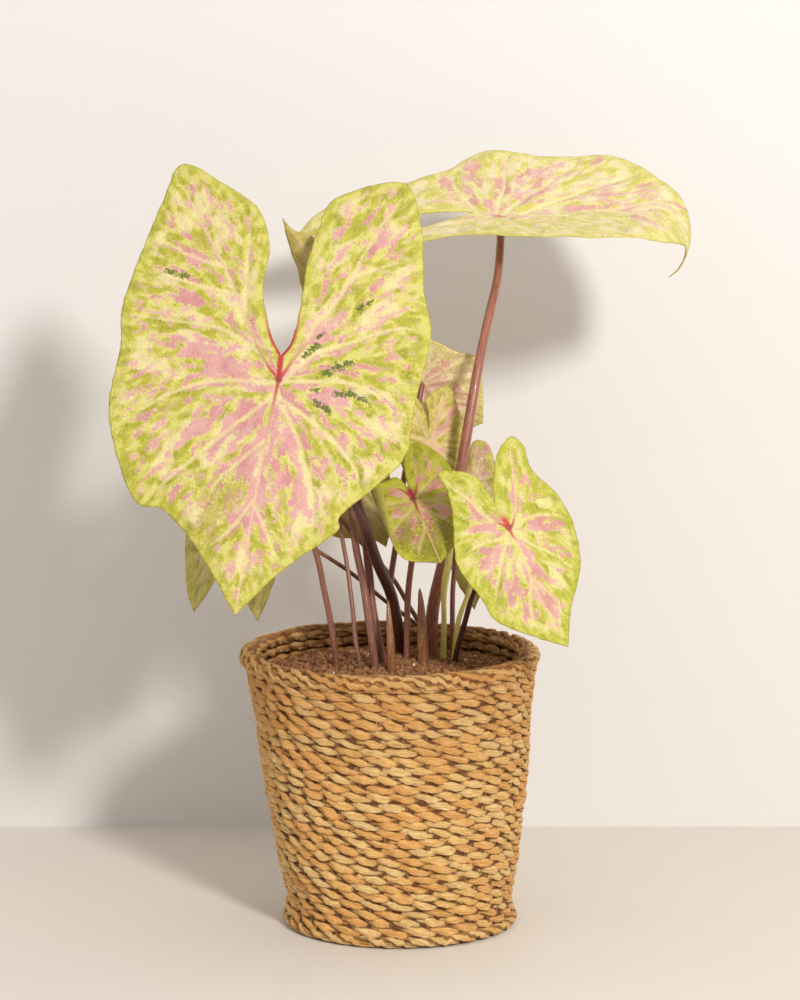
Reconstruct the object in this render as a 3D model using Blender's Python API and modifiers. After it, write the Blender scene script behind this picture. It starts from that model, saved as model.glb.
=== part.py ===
"""Caladium with variegated leaves, growing in a nursery pot that stands in a woven seagrass basket.

Metres, +Z up. The origin is the centre of the basket's flat underside, and the plant's front is -Y.
Leaf outlines and places are in millimetres and are scaled by MM where they become geometry.
"""
import math

import bmesh
import bpy
from mathutils import Vector, noise
from mathutils.geometry import delaunay_2d_cdt

MM = 0.001
CLEAR = 0.0003

# Basket: outer radius by height along the wall, its wall and its weave
RIM_HEIGHT = 0.1500
RIM_RADIUS = 0.0812
WALL_PROFILE = ((0.003, 0.0643), (0.014, 0.0620), (0.025, 0.0642), (0.037, 0.0668), (0.050, 0.0684),
                (0.063, 0.0698), (0.075, 0.0718), (0.095, 0.0741), (0.114, 0.0758), (0.133, 0.0790),
                (0.138, 0.0798))
WALL_THICKNESS = 0.0055
FLOOR_THICKNESS = 0.0050
FOOT_RADIUS = 0.0610
TOP_LEAN = -0.0060
WEAVE_ROWS = 18
WEAVE_STRANDS = 21
WEAVE_RELIEF = 0.0016
RIM_ROPE = 0.0120
RIM_STRANDS = 21
RIM_RELIEF = 0.12
ROPE_FLAT = 0.82
RIM_TURN = (-50, 230)
RIM_STEPS = 6
INNER_HEIGHTS = (0.118, 0.090, 0.060, 0.030, 0.012)
WALL_FOOT = 0.0022
TOP_ROW_DROP = 0.001
AROUND = 42

# Nursery pot inside the basket
POT_HEIGHT = 0.1180
POT_TOP_RADIUS = 0.0640
POT_FOOT_RADIUS = 0.0490
POT_WALL = 0.0012
POT_LIP = 0.0020
POT_HOLE = 0.0050
POT_HOLES = 5
POT_SIDES = 32
POT_LIP_DEPTH = 0.0040
POT_HOLE_CIRCLE = 0.0300
POT_MIDDLE = 0.0600

# Soil: inside the pot, and spread over the pot's lip to the basket's wall
SOIL_EDGE = 0.1370
SOIL_CROWN = 0.1440
SOIL_LUMP = 0.0012
SOIL_GRAIN = 110
SOIL_RADIUS = 0.0730
SOIL_FALL = 2.2
SOIL_RINGS = (0.82, 0.60, 0.36, 0.14)
STEM_DEPTH = 0.0220
STEM_CUT_ABOVE = 0.0120
STEM_GAP = 0.0004

# Leaves
BLADE_THICKNESS = 0.7 * MM
KEEL_SOFTEN = 6.0

# Stalks, in millimetres: the gap under the blade, and the straight run and the last short run up to it
STALK_CLEAR = 0.35
STALK_STRAIGHT = 9.0
STALK_END = 3.0
STALK_STEP = 22.0


def leaf(**values):
    """One leaf in millimetres. hub is where the stalk meets the blade, tip and face are directions.

    left and right are the margin from the sinus to the tip on either side of the midrib, in the flat leaf:
    x to the left of the midrib seen from above with the tip away, y towards the tip, the hub at 0, 0.
    keel lifts each half in degrees, curl bends it (from x, degrees a mm), droop and sag bend the tip's end and the lobes down (degrees a mm), hook bends the tip
    (from y, degrees a mm, and how much earlier for each mm to the left), wave is the height, the number of waves round the leaf and their phase.
    """
    usual = dict(keel=(0, 0), curl=((999, 0), (999, 0)), droop=0.0, sag=0.0,
                 hook=(999, 0, 0), wave=(1.0, 5, 0.0), step=6.4, foot=1.9, neck=1.3, tone="stalk")
    usual.update(values)
    return usual


# The usual leaf's margin, as shares of its length behind and before the hub and of its half width
PLAIN_MARGIN = ((0.0, -0.22), (0.10, -0.42), (0.30, -0.86), (0.62, -1.0), (0.90, -0.66), (1.0, -0.10),
                (0.95, 0.28), (0.70, 0.58), (0.34, 0.84), (0.0, 1.0))


def plain_margin(behind, before, half):
    """The usual heart-shaped margin: half is the half width, negative for the right half."""
    return [(half * x, (before if y > 0 else behind) * y) for x, y in PLAIN_MARGIN]


LEAVES = dict(
    front_large=leaf(
        hub=(-63, -60, 303), tip=(-0.17, -0.337, -0.926), face=(0, -0.94, 0.342),
        left=[(1, -13), (9, -25), (17, -48), (18, -72), (28, -93), (50, -106), (74, -116), (80, -93),
              (84, -69), (89, -29), (86, -6), (85, 32), (65, 73), (46, 78), (23, 98), (1, 125)],
        right=[(1, -13), (-3, -22), (-4, -42), (-3, -65), (-6, -90), (-12, -108), (-44, -124), (-58, -101),
               (-66, -64), (-74, -38), (-72, 0), (-72, 27), (-60, 46), (-44, 65), (-43, 74), (-20, 97),
               (1, 125)],
        droop=0.12, sag=0.10, keel=(-6, -4), wave=(2.2, 7, 0.6), step=9.8,
        base=(0.5, 25), route=[(-1, 20, 158), (-5, 6, 180), (-13, -12, 202), (-22, -28, 231), (-42, -41, 276)],
        foot=3.4, neck=2.6, tone="dark"),
    top_right=leaf(
        hub=(56, 75, 383), tip=(1, -0.05, 0.04), face=(0, -0.30, 1),
        left=[(-7, -15), (-3, -28), (4, -50), (10, -80), (12, -98), (22, -100), (38, -88), (41, -70),
              (38, -46), (42, -18), (52, 8), (60, 30), (66, 48), (64, 66), (50, 84), (30, 98),
              (14, 108), (4, 120), (0, 137)],
        right=[(-7, -15), (-12, -31), (-16, -50), (-31, -96), (-42, -118), (-53, -99), (-49, -60),
               (-54, -31), (-64, -18), (-70, -3), (-64, 19), (-60, 41), (-60, 59), (-50, 76), (-36, 89),
               (-19, 103), (-6, 118), (0, 137)],
        sag=0.25, hook=(82, 2.7, 0.25), keel=(7, 15), wave=(2.2, 7, 0.4), step=8.8,
        base=(17.5, 22), route=[(18, 20, 169), (25, 14, 203), (33, 12, 247), (41, 21, 294), (47, 36, 322),
                                (54, 56, 350)],
        foot=4.0, neck=2.2, tone="salmon"),
    front_right=leaf(
        hub=(57, -55, 225), tip=(0.436, -0.255, -0.863), face=(0.15, -0.93, 0.35),
        left=[(1, -15), (2, -23), (4, -32), (12, -39), (21, -42), (21, -31), (24, -19), (31, -2), (34, 9),
              (30, 27), (28, 42), (14, 58), (0, 70)],
        right=[(1, -15), (-3, -25), (-10, -34), (-16, -40), (-28, -45), (-33, -38), (-31, -24), (-39, -7),
               (-40, 11), (-33, 30), (-25, 40), (-11, 54), (0, 70)],
        keel=(-4, -24), wave=(1.2, 6, 0.3), step=6.0,
        base=(30, 0), route=[(35, -6, 166), (40, -13, 184), (49, -27, 204)],
        foot=1.6, neck=1.4, tone="dark"),
    centre_cupped=leaf(
        hub=(7, -22, 236), tip=(0.30, -0.72, -0.62), face=(-0.1, -0.62, 0.78),
        left=[(0, -9), (4, -18), (12, -16), (22, -17), (28, -12), (33, 2), (32, 16), (27, 30), (17, 40),
              (7, 45), (0, 48)],
        right=[(0, -9), (-2, -22), (-9, -37), (-18, -32), (-24, -18), (-25, -4), (-21, 12), (-16, 28),
               (-9, 40), (0, 48)],
        keel=(4, 6), curl=((13, 7.0), (16, 1.5)), wave=(0.8, 5, 1.0), step=5.0,
        base=(3.8, 8), route=[(4, 8, 172), (5, 6, 187), (7, 0, 205)],
        foot=1.9, neck=1.6, tone="salmon"),
    back_upper=leaf(
        hub=(12, 58, 290), tip=(0.78, 0.22, -0.58), face=(0.1, 0.9, 0.4),
        left=[(0, -9), (6, -24), (20, -30), (27, -13), (29, 0), (33, 14), (21, 27), (9, 37), (3, 42)],
        right=[(0, -9), (-5, -22), (-17, -31), (-25, -18), (-28, 2), (-26, 18), (-17, 30), (-6, 38), (3, 42)],
        wave=(1.2, 5, 2.0), base=(-1.5, 38), route=[(-5, 36, 172), (-5, 36, 185), (-2, 38, 205), (2, 43, 238)],
        foot=1.9, neck=1.5),
    middle_upper=leaf(
        hub=(17, 28, 258), tip=(0.2, -0.25, -0.93), face=(0.3, -0.88, 0.35),
        left=[(-1, -10), (-1, -20), (2, -29), (8, -34), (18, -28), (22, -10), (20, 8), (12, 26), (0, 38)],
        right=[(-1, -10), (-3, -20), (-3, -27), (-9, -31), (-18, -33), (-20, -24), (-21, -10), (-18, 6),
               (-10, 24), (0, 38)],
        keel=(8, 0), wave=(1.0, 5, 0.5), base=(29, 27), route=[(29, 27, 176), (30, 28, 200), (25, 31, 228)],
        foot=1.5, neck=1.3, tone="salmon"),
    back_centre=leaf(
        hub=(-26, 24, 246), tip=(0.36, 0.25, -0.88), face=(-0.05, 0.9, 0.3),
        left=[(0, -12), (5, -24), (12, -26), (17, -12), (18, 4), (16, 20), (11, 34), (6, 42), (0, 50)],
        right=[(0, -12), (-5, -24), (-14, -30), (-24, -18), (-28, 0), (-28, 20), (-25, 31), (-14, 38),
               (-6, 42), (0, 50)],
        wave=(1.6, 5, 1.4), base=(-9.7, -10), route=[(-15, -7, 174), (-17, -3, 195), (-20, 6, 218)],
        foot=2.7, neck=2.0),
    left_low=leaf(
        hub=(-91, -12, 238), tip=(-0.26, -0.40, -0.87), face=(-0.50, -0.72, 0.42),
        left=plain_margin(30, 69, 24), right=plain_margin(30, 69, -14),
        wave=(1.4, 6, 0.8), base=(20, 36), route=[(11, 34, 157), (-9, 25, 174), (-30, 13, 193), (-60, 2, 214)],
        foot=1.2, neck=1.1),
    left_back=leaf(
        hub=(-71, 27, 236), tip=(-0.10, -0.06, -0.98), face=(-0.35, 0.88, 0.1),
        left=plain_margin(32, 74, 13), right=plain_margin(32, 74, -26),
        wave=(1.4, 5, 0.2), step=7.0, base=(11, 46), route=[(11, 46, 156), (4, 45, 169), (-4, 43, 183),
                                                           (-19, 33, 202), (-42, 18, 228)],
        foot=1.4, neck=1.2),
    right_back=leaf(
        hub=(36, 40, 225), tip=(0.09, 0.05, -0.99), face=(0.1, 1, 0.1),
        left=[(0, -8), (3, -22), (7, -34), (13, -35), (17, -30), (19, -14), (18, 6), (15, 24), (9, 42), (0, 60)],
        right=[(0, -8), (-3, -20), (-8, -32), (-14, -30), (-18, -16), (-17, 6), (-14, 26), (-8, 44), (0, 60)],
        wave=(0.8, 5, 1.1), base=(29.5, 8.5), route=[(32, 8, 165), (38, 11, 182), (41, 19, 203)],
        foot=1.6, neck=1.2, tone="green"),
    back_high=leaf(
        hub=(-25, -6, 331), tip=(-0.57, -0.05, 0.82), face=(-0.1, 1, 0),
        left=[(0, -10), (4, -22), (14, -28), (22, -20), (24, -4), (22, 14), (16, 28), (10, 40), (7.5, 48),
              (4, 56), (0, 66)],
        right=[(0, -10), (-5, -24), (-16, -30), (-26, -20), (-30, 0), (-27, 18), (-18, 34), (-9, 46),
               (-4, 53), (-0.8, 58), (0, 66)],
        keel=(42, 8), wave=(0.8, 6, 0.4), step=6.6,
        base=(-13.5, -19), route=[(-17, -17, 170), (-20, -14, 190), (-24, -12, 210), (-27, -12, 240),
                                  (-28, -14, 290)],
        foot=2.2, neck=1.8),
    left_high=leaf(
        hub=(-104, 22, 292), tip=(-0.70, 0.40, -0.60), face=(-0.45, 0.35, 0.82),
        left=plain_margin(30, 54, 32), right=plain_margin(30, 54, -32),
        droop=0.3, sag=0.2, keel=(-5, -5), wave=(1.6, 5, 2.2), step=7.0,
        base=(-34.7, -8), route=[(-37, -8, 163), (-41, -7, 184), (-48, -6, 212), (-68, -5, 250), (-92, 8, 276)],
        foot=1.9, neck=1.4),
    back_low=leaf(
        hub=(-60, 8, 290), tip=(-0.15, 0.92, -0.30), face=(0, 0.30, 0.95),
        left=plain_margin(26, 52, 25), right=plain_margin(26, 52, -25),
        droop=0.4, sag=0.2, keel=(-5, -5), wave=(1.4, 5, 1.7), base=(-21.6, -21),
        route=[(-24, -19, 159), (-26, -15, 179), (-30, -8, 206), (-37, -4, 234), (-51, -2, 262)],
        foot=1.4, neck=1.0),
)

# Sheaths that stand round the stalks: their foot, centre line, tip and half width at the foot
SHEATHS = dict(
    sheath_front=dict(base=(-4.6, -25), route=[(-5.2, -24.5, 158), (-6, -22.5, 172)], tip=(-6.4, -20.5, 181),
                      foot=2.5),
    sheath_right=dict(base=(12.4, -3), route=[(11.8, -3.4, 160), (11.4, -5, 175)], tip=(10.6, -6, 185),
                      foot=3.2),
)
ROLLED_LEAF = dict(base=(23.6, 12), route=[(24, 8, 165), (24, 2, 184), (27, -3, 205)], tip=(28, -6, 236),
                   foot=1.9, waist=1.3, belly=2.2)

# Colour, roughness of each finish
FINISHES = dict(
    seagrass=((0.52, 0.32, 0.14), 0.75), pot=((0.03, 0.03, 0.03), 0.55), soil=((0.055, 0.032, 0.018), 0.95),
    blade=((0.62, 0.62, 0.16), 0.5), stalk=((0.22, 0.075, 0.045), 0.45), dark=((0.10, 0.035, 0.03), 0.45),
    salmon=((0.36, 0.12, 0.075), 0.45), green=((0.42, 0.48, 0.10), 0.45), sheath=((0.20, 0.09, 0.045), 0.6),
)


def clear_scene():
    for thing in list(bpy.data.objects):
        bpy.data.objects.remove(thing)


def finish_of(name):
    found = bpy.data.materials.get(name)
    if found:
        return found
    colour, roughness = FINISHES[name]
    made = bpy.data.materials.new(name)
    made.use_nodes = True
    shader = made.node_tree.nodes["Principled BSDF"]
    shader.inputs["Base Color"].default_value = (*colour, 1)
    shader.inputs["Roughness"].default_value = roughness
    shader.inputs["Metallic"].default_value = 0.0
    return made


def new_object(name, mesh, finish, collection):
    made = bpy.data.objects.new(name, mesh)
    collection.objects.link(made)
    mesh.materials.append(finish_of(finish))
    return made


def smooth(points, count):
    """A smooth line through the points, each span cut into count steps."""
    line = [Vector(p) for p in points]
    ends = [line[0] * 2 - line[1]] + line + [line[-1] * 2 - line[-2]]
    out = []
    for i in range(1, len(ends) - 2):
        a, b, c, d = ends[i - 1:i + 3]
        for j in range(count):
            t = j / count
            out.append(0.5 * (2 * b + (c - a) * t + (2 * a - 5 * b + 4 * c - d) * t * t
                              + (3 * b - a - 3 * c + d) * t ** 3))
    return out + [line[-1]]


def even(line, step):
    """The line again, with points about one step apart."""
    lengths = [0.0]
    for a, b in zip(line, line[1:]):
        lengths.append(lengths[-1] + (b - a).length)
    count = max(2, round(lengths[-1] / step))
    out = []
    at = 0
    for k in range(count + 1):
        want = lengths[-1] * k / count
        while at < len(line) - 2 and lengths[at + 1] < want:
            at += 1
        share = (want - lengths[at]) / max(lengths[at + 1] - lengths[at], 1e-9)
        out.append(line[at].lerp(line[at + 1], min(1.0, share)))
    return out


def bend_at(shape, x, s):
    """Slope of the blade along the midrib at s mm from the hub and x beside the midrib, in radians."""
    start, rate, earlier = shape["hook"]
    if s < 0:
        return math.radians(-shape["sag"] * s)
    return math.radians(-shape["droop"] * s - rate * max(0.0, s - start + earlier * x))


def rise_at(shape, side, u):
    """Slope of one half of the blade at u mm from the midrib, in radians."""
    start, rate = shape["curl"][side]
    return math.radians(shape["keel"][side] * min(1.0, u / KEEL_SOFTEN) + rate * max(0.0, u - start))


def travel(slope, length, pieces=14):
    """Where a line of this length ends when it follows the slope."""
    step = length / pieces
    place = Vector((0.0, 0.0))
    for i in range(pieces):
        angle = slope(step * (i + 0.5))
        place += Vector((math.cos(angle), math.sin(angle))) * step
    return place


def axes_of(shape):
    tip = Vector(shape["tip"]).normalized()
    face = Vector(shape["face"])
    face = (face - tip * face.dot(tip)).normalized()
    return tip.cross(face), tip, face


def reach_of(shape):
    return max(Vector(p).length for p in shape["left"] + shape["right"])


def bent(shape, x, y):
    """The place of a point of the flat leaf on the bent and waved blade, in millimetres."""
    side, tip, face = axes_of(shape)
    half = 0 if x > 0 else 1
    run, height = travel(lambda s: bend_at(shape, x, s), y)
    out, lift = travel(lambda u: rise_at(shape, half, u), abs(x))
    tilt = bend_at(shape, x, y)
    size, count, phase = shape["wave"]
    share = min(1.0, math.hypot(x, y) / reach_of(shape))
    lift += size * share * share * math.sin(count * math.atan2(x, y) + phase)
    return (Vector(shape["hub"]) + side * math.copysign(out, x)
            + tip * (run - math.sin(tilt) * lift) + face * (height + math.cos(tilt) * lift))


def inside(loop, x, y):
    odd = False
    for a, b in zip(loop, loop[1:] + loop[:1]):
        if (a.y > y) != (b.y > y) and x < a.x + (y - a.y) * (b.x - a.x) / (b.y - a.y):
            odd = not odd
    return odd


def margin_gap(loop, point):
    best = 1e9
    for a, b in zip(loop, loop[1:] + loop[:1]):
        along = b - a
        share = max(0.0, min(1.0, (point - a).dot(along) / max(along.length_squared, 1e-9)))
        best = min(best, (a + along * share - point).length)
    return best


def flat_margin(shape):
    """The whole margin of the flat leaf, tip and sinus sharp, from the sinus round by the left half."""
    step = shape["step"] * 0.8
    left = even(smooth(shape["left"], 8), step)
    right = even(smooth(shape["right"], 8), step)
    loop = left[:-1] + right[::-1][:-1]
    area = sum(a.x * b.y - b.x * a.y for a, b in zip(loop, loop[1:] + loop[:1]))
    return loop if area > 0 else loop[::-1]


def blade(name, shape, collection):
    """The leaf's blade: its flat outline filled with even triangles, bent, waved and given thickness."""
    loop = flat_margin(shape)
    step = shape["step"]
    across = step * math.sqrt(3) / 2
    columns = range(-math.ceil(max(-p.x for p in loop) / across), math.ceil(max(p.x for p in loop) / across) + 1)
    rows = range(math.floor(min(p.y for p in loop) / step), math.ceil(max(p.y for p in loop) / step) + 1)
    points = list(loop)
    for i in columns:
        for j in rows:
            spot = Vector((i * across, (j + 0.5 * (i % 2)) * step))
            if inside(loop, spot.x, spot.y) and margin_gap(loop, spot) > step * 0.5:
                points.append(spot)
    flat, _, faces, *_ = delaunay_2d_cdt(points, [], [list(range(len(loop)))], 1, 1e-5)
    mesh = bpy.data.meshes.new(name)
    mesh.from_pydata([bent(shape, p.x, p.y) * MM for p in flat], [], faces)
    sheet = bmesh.new()
    sheet.from_mesh(mesh)
    bmesh.ops.recalc_face_normals(sheet, faces=sheet.faces)
    sheet.faces.ensure_lookup_table()
    middle = min(sheet.faces, key=lambda f: (f.calc_center_median() / MM - Vector(shape["hub"])).length)
    if middle.normal.dot(axes_of(shape)[2]) < 0:
        bmesh.ops.reverse_faces(sheet, faces=sheet.faces)
    sheet.to_mesh(mesh)
    sheet.free()
    made = new_object(name, mesh, "blade", collection)
    wall = made.modifiers.new("thickness", "SOLIDIFY")
    wall.thickness = BLADE_THICKNESS
    wall.offset = -1.0
    mesh.shade_smooth()
    return made


def rod(name, line, radii, finish, collection):
    """A tapered round rod along a line in metres."""
    curve = bpy.data.curves.new(name, "CURVE")
    curve.dimensions = "3D"
    curve.bevel_depth = 1.0
    curve.bevel_resolution = 2
    curve.use_fill_caps = True
    spline = curve.splines.new("POLY")
    spline.points.add(len(line) - 1)
    for point, place, radius in zip(spline.points, line, radii):
        point.co = (*place, 1)
        point.radius = radius
    curve.materials.append(finish_of(finish))
    made = bpy.data.objects.new(name, curve)
    collection.objects.link(made)
    return made


def stalk(name, shape, collection):
    """The leaf's stalk, from its hole in the soil to the underside of the blade at the hub."""
    face = axes_of(shape)[2]
    end = bent(shape, 0, 0) - face * (BLADE_THICKNESS / MM + STALK_CLEAR + 0.10 * shape["neck"])
    x, y = shape["base"]
    foot = (SOIL_CROWN - STEM_DEPTH) / MM
    points = [(x, y, foot), (x, y, SOIL_CROWN / MM)] + shape["route"] + [end - face * STALK_STRAIGHT, end]
    line = even(smooth(points, 6), STALK_STEP)
    line = line[:-1] + [end - face * STALK_END, end]
    last = len(line) - 1
    radii = [MM * (shape["foot"] + (shape["neck"] - shape["foot"]) * (i / last) ** 0.7) for i in range(last + 1)]
    return rod(name, [p * MM for p in line], radii, shape["tone"], collection)


def sheath(name, shape, collection):
    x, y = shape["base"]
    foot = (SOIL_CROWN - STEM_DEPTH) / MM
    line = even(smooth([(x, y, foot), (x, y, SOIL_CROWN / MM)] + shape["route"] + [shape["tip"]], 5), 8.0)
    last = len(line) - 1
    radii = [MM * max(0.3, shape["foot"] * math.sqrt(max(0.0, 1 - (i / last) ** 2.4))) for i in range(last + 1)]
    return rod(name, [p * MM for p in line], radii, "sheath", collection)


def rolled_leaf(collection):
    """A young leaf, still rolled into a spindle on its own green stalk."""
    shape = ROLLED_LEAF
    x, y = shape["base"]
    foot = (SOIL_CROWN - STEM_DEPTH) / MM
    line = even(smooth([(x, y, foot), (x, y, SOIL_CROWN / MM)] + shape["route"] + [shape["tip"]], 6), 9.0)
    last = len(line) - 1
    radii = []
    for i in range(last + 1):
        share = i / last
        narrow = shape["foot"] + (shape["waist"] - shape["foot"]) * min(1.0, share / 0.5)
        swell = max(0.0, math.sin(math.pi * min(1.0, max(0.0, (share - 0.45) / 0.55))))
        radii.append(MM * max(0.3, narrow * (1 if share < 0.6 else max(0.0, 1 - (share - 0.6) / 0.4))
                              + (shape["belly"] - shape["waist"]) * swell))
    return rod("young_rolled_leaf", [p * MM for p in line], radii, "green", collection)


def wall_radius(z):
    """Outer radius of the basket's wall at height z, before the weave's relief."""
    if z <= WALL_PROFILE[0][0]:
        return WALL_PROFILE[0][1]
    for (z0, r0), (z1, r1) in zip(WALL_PROFILE, WALL_PROFILE[1:]):
        if z <= z1:
            return r0 + (r1 - r0) * (z - z0) / (z1 - z0)
    return WALL_PROFILE[-1][1]


def lean_at(z):
    return TOP_LEAN * (z / RIM_HEIGHT) ** 1.3


def sway(angle, z):
    """The hand-made wall's slow unevenness."""
    return (0.0006 * math.sin(3 * angle + 1.1) + 0.0005 * math.sin(2 * angle - 9 * z / RIM_HEIGHT)) * z / RIM_HEIGHT


def outer_ring(z, crest, row):
    """One ring of the outside. On a crest, strands bulge in turn, half a strand over from row to row."""
    ring = []
    for k in range(AROUND):
        angle = math.tau * k / AROUND
        bulge = 0.5 + 0.5 * math.cos(WEAVE_STRANDS * angle + math.pi * row)
        radius = wall_radius(z) + sway(angle, z) + WEAVE_RELIEF * (crest * (0.55 + 0.45 * bulge) - 0.5)
        ring.append((lean_at(z) + radius * math.cos(angle), radius * math.sin(angle), z))
    return ring


def rim_ring(turn):
    """One ring of the rope along the rim, turn going from its outer foot over the top to its inner foot."""
    ring = []
    middle = RIM_HEIGHT - RIM_ROPE * 0.5
    for k in range(AROUND):
        angle = math.tau * k / AROUND
        strand = 0.5 + 0.5 * math.cos(RIM_STRANDS * angle + turn)
        radius = RIM_RADIUS - RIM_ROPE * 0.5 * ROPE_FLAT + sway(angle, RIM_HEIGHT)
        girth = RIM_ROPE * 0.5 * (1 - RIM_RELIEF + RIM_RELIEF * strand)
        out = radius + ROPE_FLAT * girth * math.cos(turn)
        z = middle + girth * math.sin(turn)
        ring.append((lean_at(z) + out * math.cos(angle), out * math.sin(angle), z))
    return ring


def inner_ring(z, gap=0.0):
    """One ring of the plain inside, or of what stands this gap inside it."""
    ring = []
    for k in range(AROUND):
        angle = math.tau * k / AROUND
        radius = wall_radius(z) + sway(angle, z) - WALL_THICKNESS - gap
        ring.append((lean_at(z) + radius * math.cos(angle), radius * math.sin(angle), z))
    return ring


def loft(name, rings, finish, collection):
    """A closed body through rings of equally many points, capped at both ends."""
    body = bmesh.new()
    loops = [[body.verts.new(p) for p in ring] for ring in rings]
    for lower, upper in zip(loops, loops[1:]):
        for k in range(len(lower)):
            n = (k + 1) % len(lower)
            body.faces.new((lower[k], lower[n], upper[n], upper[k]))
    body.faces.new(list(reversed(loops[0])))
    body.faces.new(loops[-1])
    bmesh.ops.triangulate(body, faces=body.faces, quad_method="ALTERNATE")
    bmesh.ops.recalc_face_normals(body, faces=body.faces)
    mesh = bpy.data.meshes.new(name)
    body.to_mesh(mesh)
    body.free()
    mesh.shade_smooth()
    return new_object(name, mesh, finish, collection)


def basket(collection):
    """Underside, woven outside, rope rim, plain inside and floor, as one closed body."""
    flat = [(FOOT_RADIUS * math.cos(math.tau * k / AROUND), FOOT_RADIUS * math.sin(math.tau * k / AROUND), 0.0)
            for k in range(AROUND)]
    rings = [flat]
    top = RIM_HEIGHT - RIM_ROPE - TOP_ROW_DROP
    for step in range(2 * WEAVE_ROWS):
        z = WALL_FOOT + (top - WALL_FOOT) * step / (2 * WEAVE_ROWS - 1)
        rings.append(outer_ring(z, (step + 1) % 2, step // 2))
    for step in range(RIM_STEPS + 1):
        rings.append(rim_ring(math.radians(RIM_TURN[0] + (RIM_TURN[1] - RIM_TURN[0]) * step / RIM_STEPS)))
    for z in (top, *INNER_HEIGHTS, FLOOR_THICKNESS):
        rings.append(inner_ring(z))
    return loft("basket", rings, "seagrass", collection)


def turned(name, profile, steps, finish, collection):
    """A turned body from an open profile at +X, run top to bottom down its outer side."""
    mesh = bpy.data.meshes.new(name)
    mesh.from_pydata([(x, 0, z) for x, z in profile], [(i, i + 1) for i in range(len(profile) - 1)], [])
    made = new_object(name, mesh, finish, collection)
    screw = made.modifiers.new("turn", "SCREW")
    screw.steps = steps
    screw.render_steps = steps
    screw.use_merge_vertices = True
    screw.merge_threshold = 0.00001
    screw.use_smooth_shade = True
    return made


def grow_pot(collection):
    """The plain nursery pot that holds the soil, with a lip and drain holes in its floor."""
    foot = FLOOR_THICKNESS + CLEAR
    top = foot + POT_HEIGHT
    profile = [(POT_TOP_RADIUS + POT_LIP, top), (POT_TOP_RADIUS + POT_LIP, top - POT_LIP_DEPTH),
               (POT_TOP_RADIUS, top - POT_LIP_DEPTH), (POT_FOOT_RADIUS, foot), (0, foot), (0, foot + POT_WALL),
               (POT_FOOT_RADIUS - POT_WALL, foot + POT_WALL), (POT_TOP_RADIUS - POT_WALL, top),
               (POT_TOP_RADIUS + POT_LIP, top)]
    pot = turned("grow_pot", profile, POT_SIDES, "pot", collection)
    pot.location.x = lean_at(POT_MIDDLE)
    cutters = bpy.data.collections.new("cutters")
    bpy.context.scene.collection.children.link(cutters)
    tools = bmesh.new()
    for k in range(POT_HOLES):
        angle = math.tau * k / POT_HOLES
        made = bmesh.ops.create_cone(tools, cap_ends=True, segments=10, radius1=POT_HOLE, radius2=POT_HOLE,
                                     depth=2 * POT_HOLE)
        spot = Vector((POT_HOLE_CIRCLE * math.cos(angle), POT_HOLE_CIRCLE * math.sin(angle), foot))
        bmesh.ops.translate(tools, verts=made["verts"], vec=spot)
    mesh = bpy.data.meshes.new("drain_cutter")
    tools.to_mesh(mesh)
    tools.free()
    cutter = bpy.data.objects.new("drain_cutter", mesh)
    cutters.objects.link(cutter)
    cutter.location = pot.location
    cutter.hide_render = True
    cutter.display_type = "WIRE"
    cut = pot.modifiers.new("drain_holes", "BOOLEAN")
    cut.operation = "DIFFERENCE"
    cut.object = cutter
    return pot, cutters


def soil_height(x, y):
    """The soil's surface: a low mound, crumbly all over."""
    share = min(1.0, math.hypot(x - lean_at(SOIL_EDGE), y) / SOIL_RADIUS)
    lump = noise.noise(Vector((x, y, 0.2)) * SOIL_GRAIN) * SOIL_LUMP
    return SOIL_EDGE + (SOIL_CROWN - SOIL_EDGE) * (1 - share ** SOIL_FALL) + lump


def soil(stems, cutters, collection):
    """Soil filling the pot and lying over its lip, with a plain blind hole for each stem."""
    foot = FLOOR_THICKNESS + CLEAR + POT_WALL + CLEAR
    lip = FLOOR_THICKNESS + CLEAR + POT_HEIGHT + CLEAR
    low = POT_FOOT_RADIUS - POT_WALL - 2 * CLEAR
    high = POT_TOP_RADIUS - POT_WALL - 2 * CLEAR
    shift = lean_at(POT_MIDDLE)

    def ring(radius, z):
        return [(shift + radius * math.cos(math.tau * k / AROUND), radius * math.sin(math.tau * k / AROUND), z)
                for k in range(AROUND)]

    lean = lean_at(SOIL_EDGE)
    edge = [(x, y, soil_height(x, y)) for x, y, z in inner_ring(SOIL_EDGE, CLEAR)]
    rings = [ring(low, foot), ring(high, lip), inner_ring(lip + CLEAR, CLEAR), edge]
    for share in SOIL_RINGS:
        spots = [(lean + (x - lean) * share, y * share) for x, y, z in edge]
        rings.append([(x, y, soil_height(x, y)) for x, y in spots])
    body = loft("soil", rings, "soil", collection)
    tools = bmesh.new()
    for (x, y), radius in stems:
        depth = STEM_DEPTH + STEM_CUT_ABOVE
        made = bmesh.ops.create_cone(tools, cap_ends=True, segments=12, depth=depth,
                                     radius1=radius + STEM_GAP, radius2=radius + STEM_GAP)
        spot = Vector((x, y, SOIL_CROWN - STEM_DEPTH - CLEAR + depth / 2))
        bmesh.ops.translate(tools, verts=made["verts"], vec=spot)
    mesh = bpy.data.meshes.new("stem_cutter")
    tools.to_mesh(mesh)
    tools.free()
    cutter = bpy.data.objects.new("stem_cutter", mesh)
    cutters.objects.link(cutter)
    cutter.hide_render = True
    cutter.display_type = "WIRE"
    cut = body.modifiers.new("stem_holes", "BOOLEAN")
    cut.operation = "DIFFERENCE"
    cut.object = cutter
    return body


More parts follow.
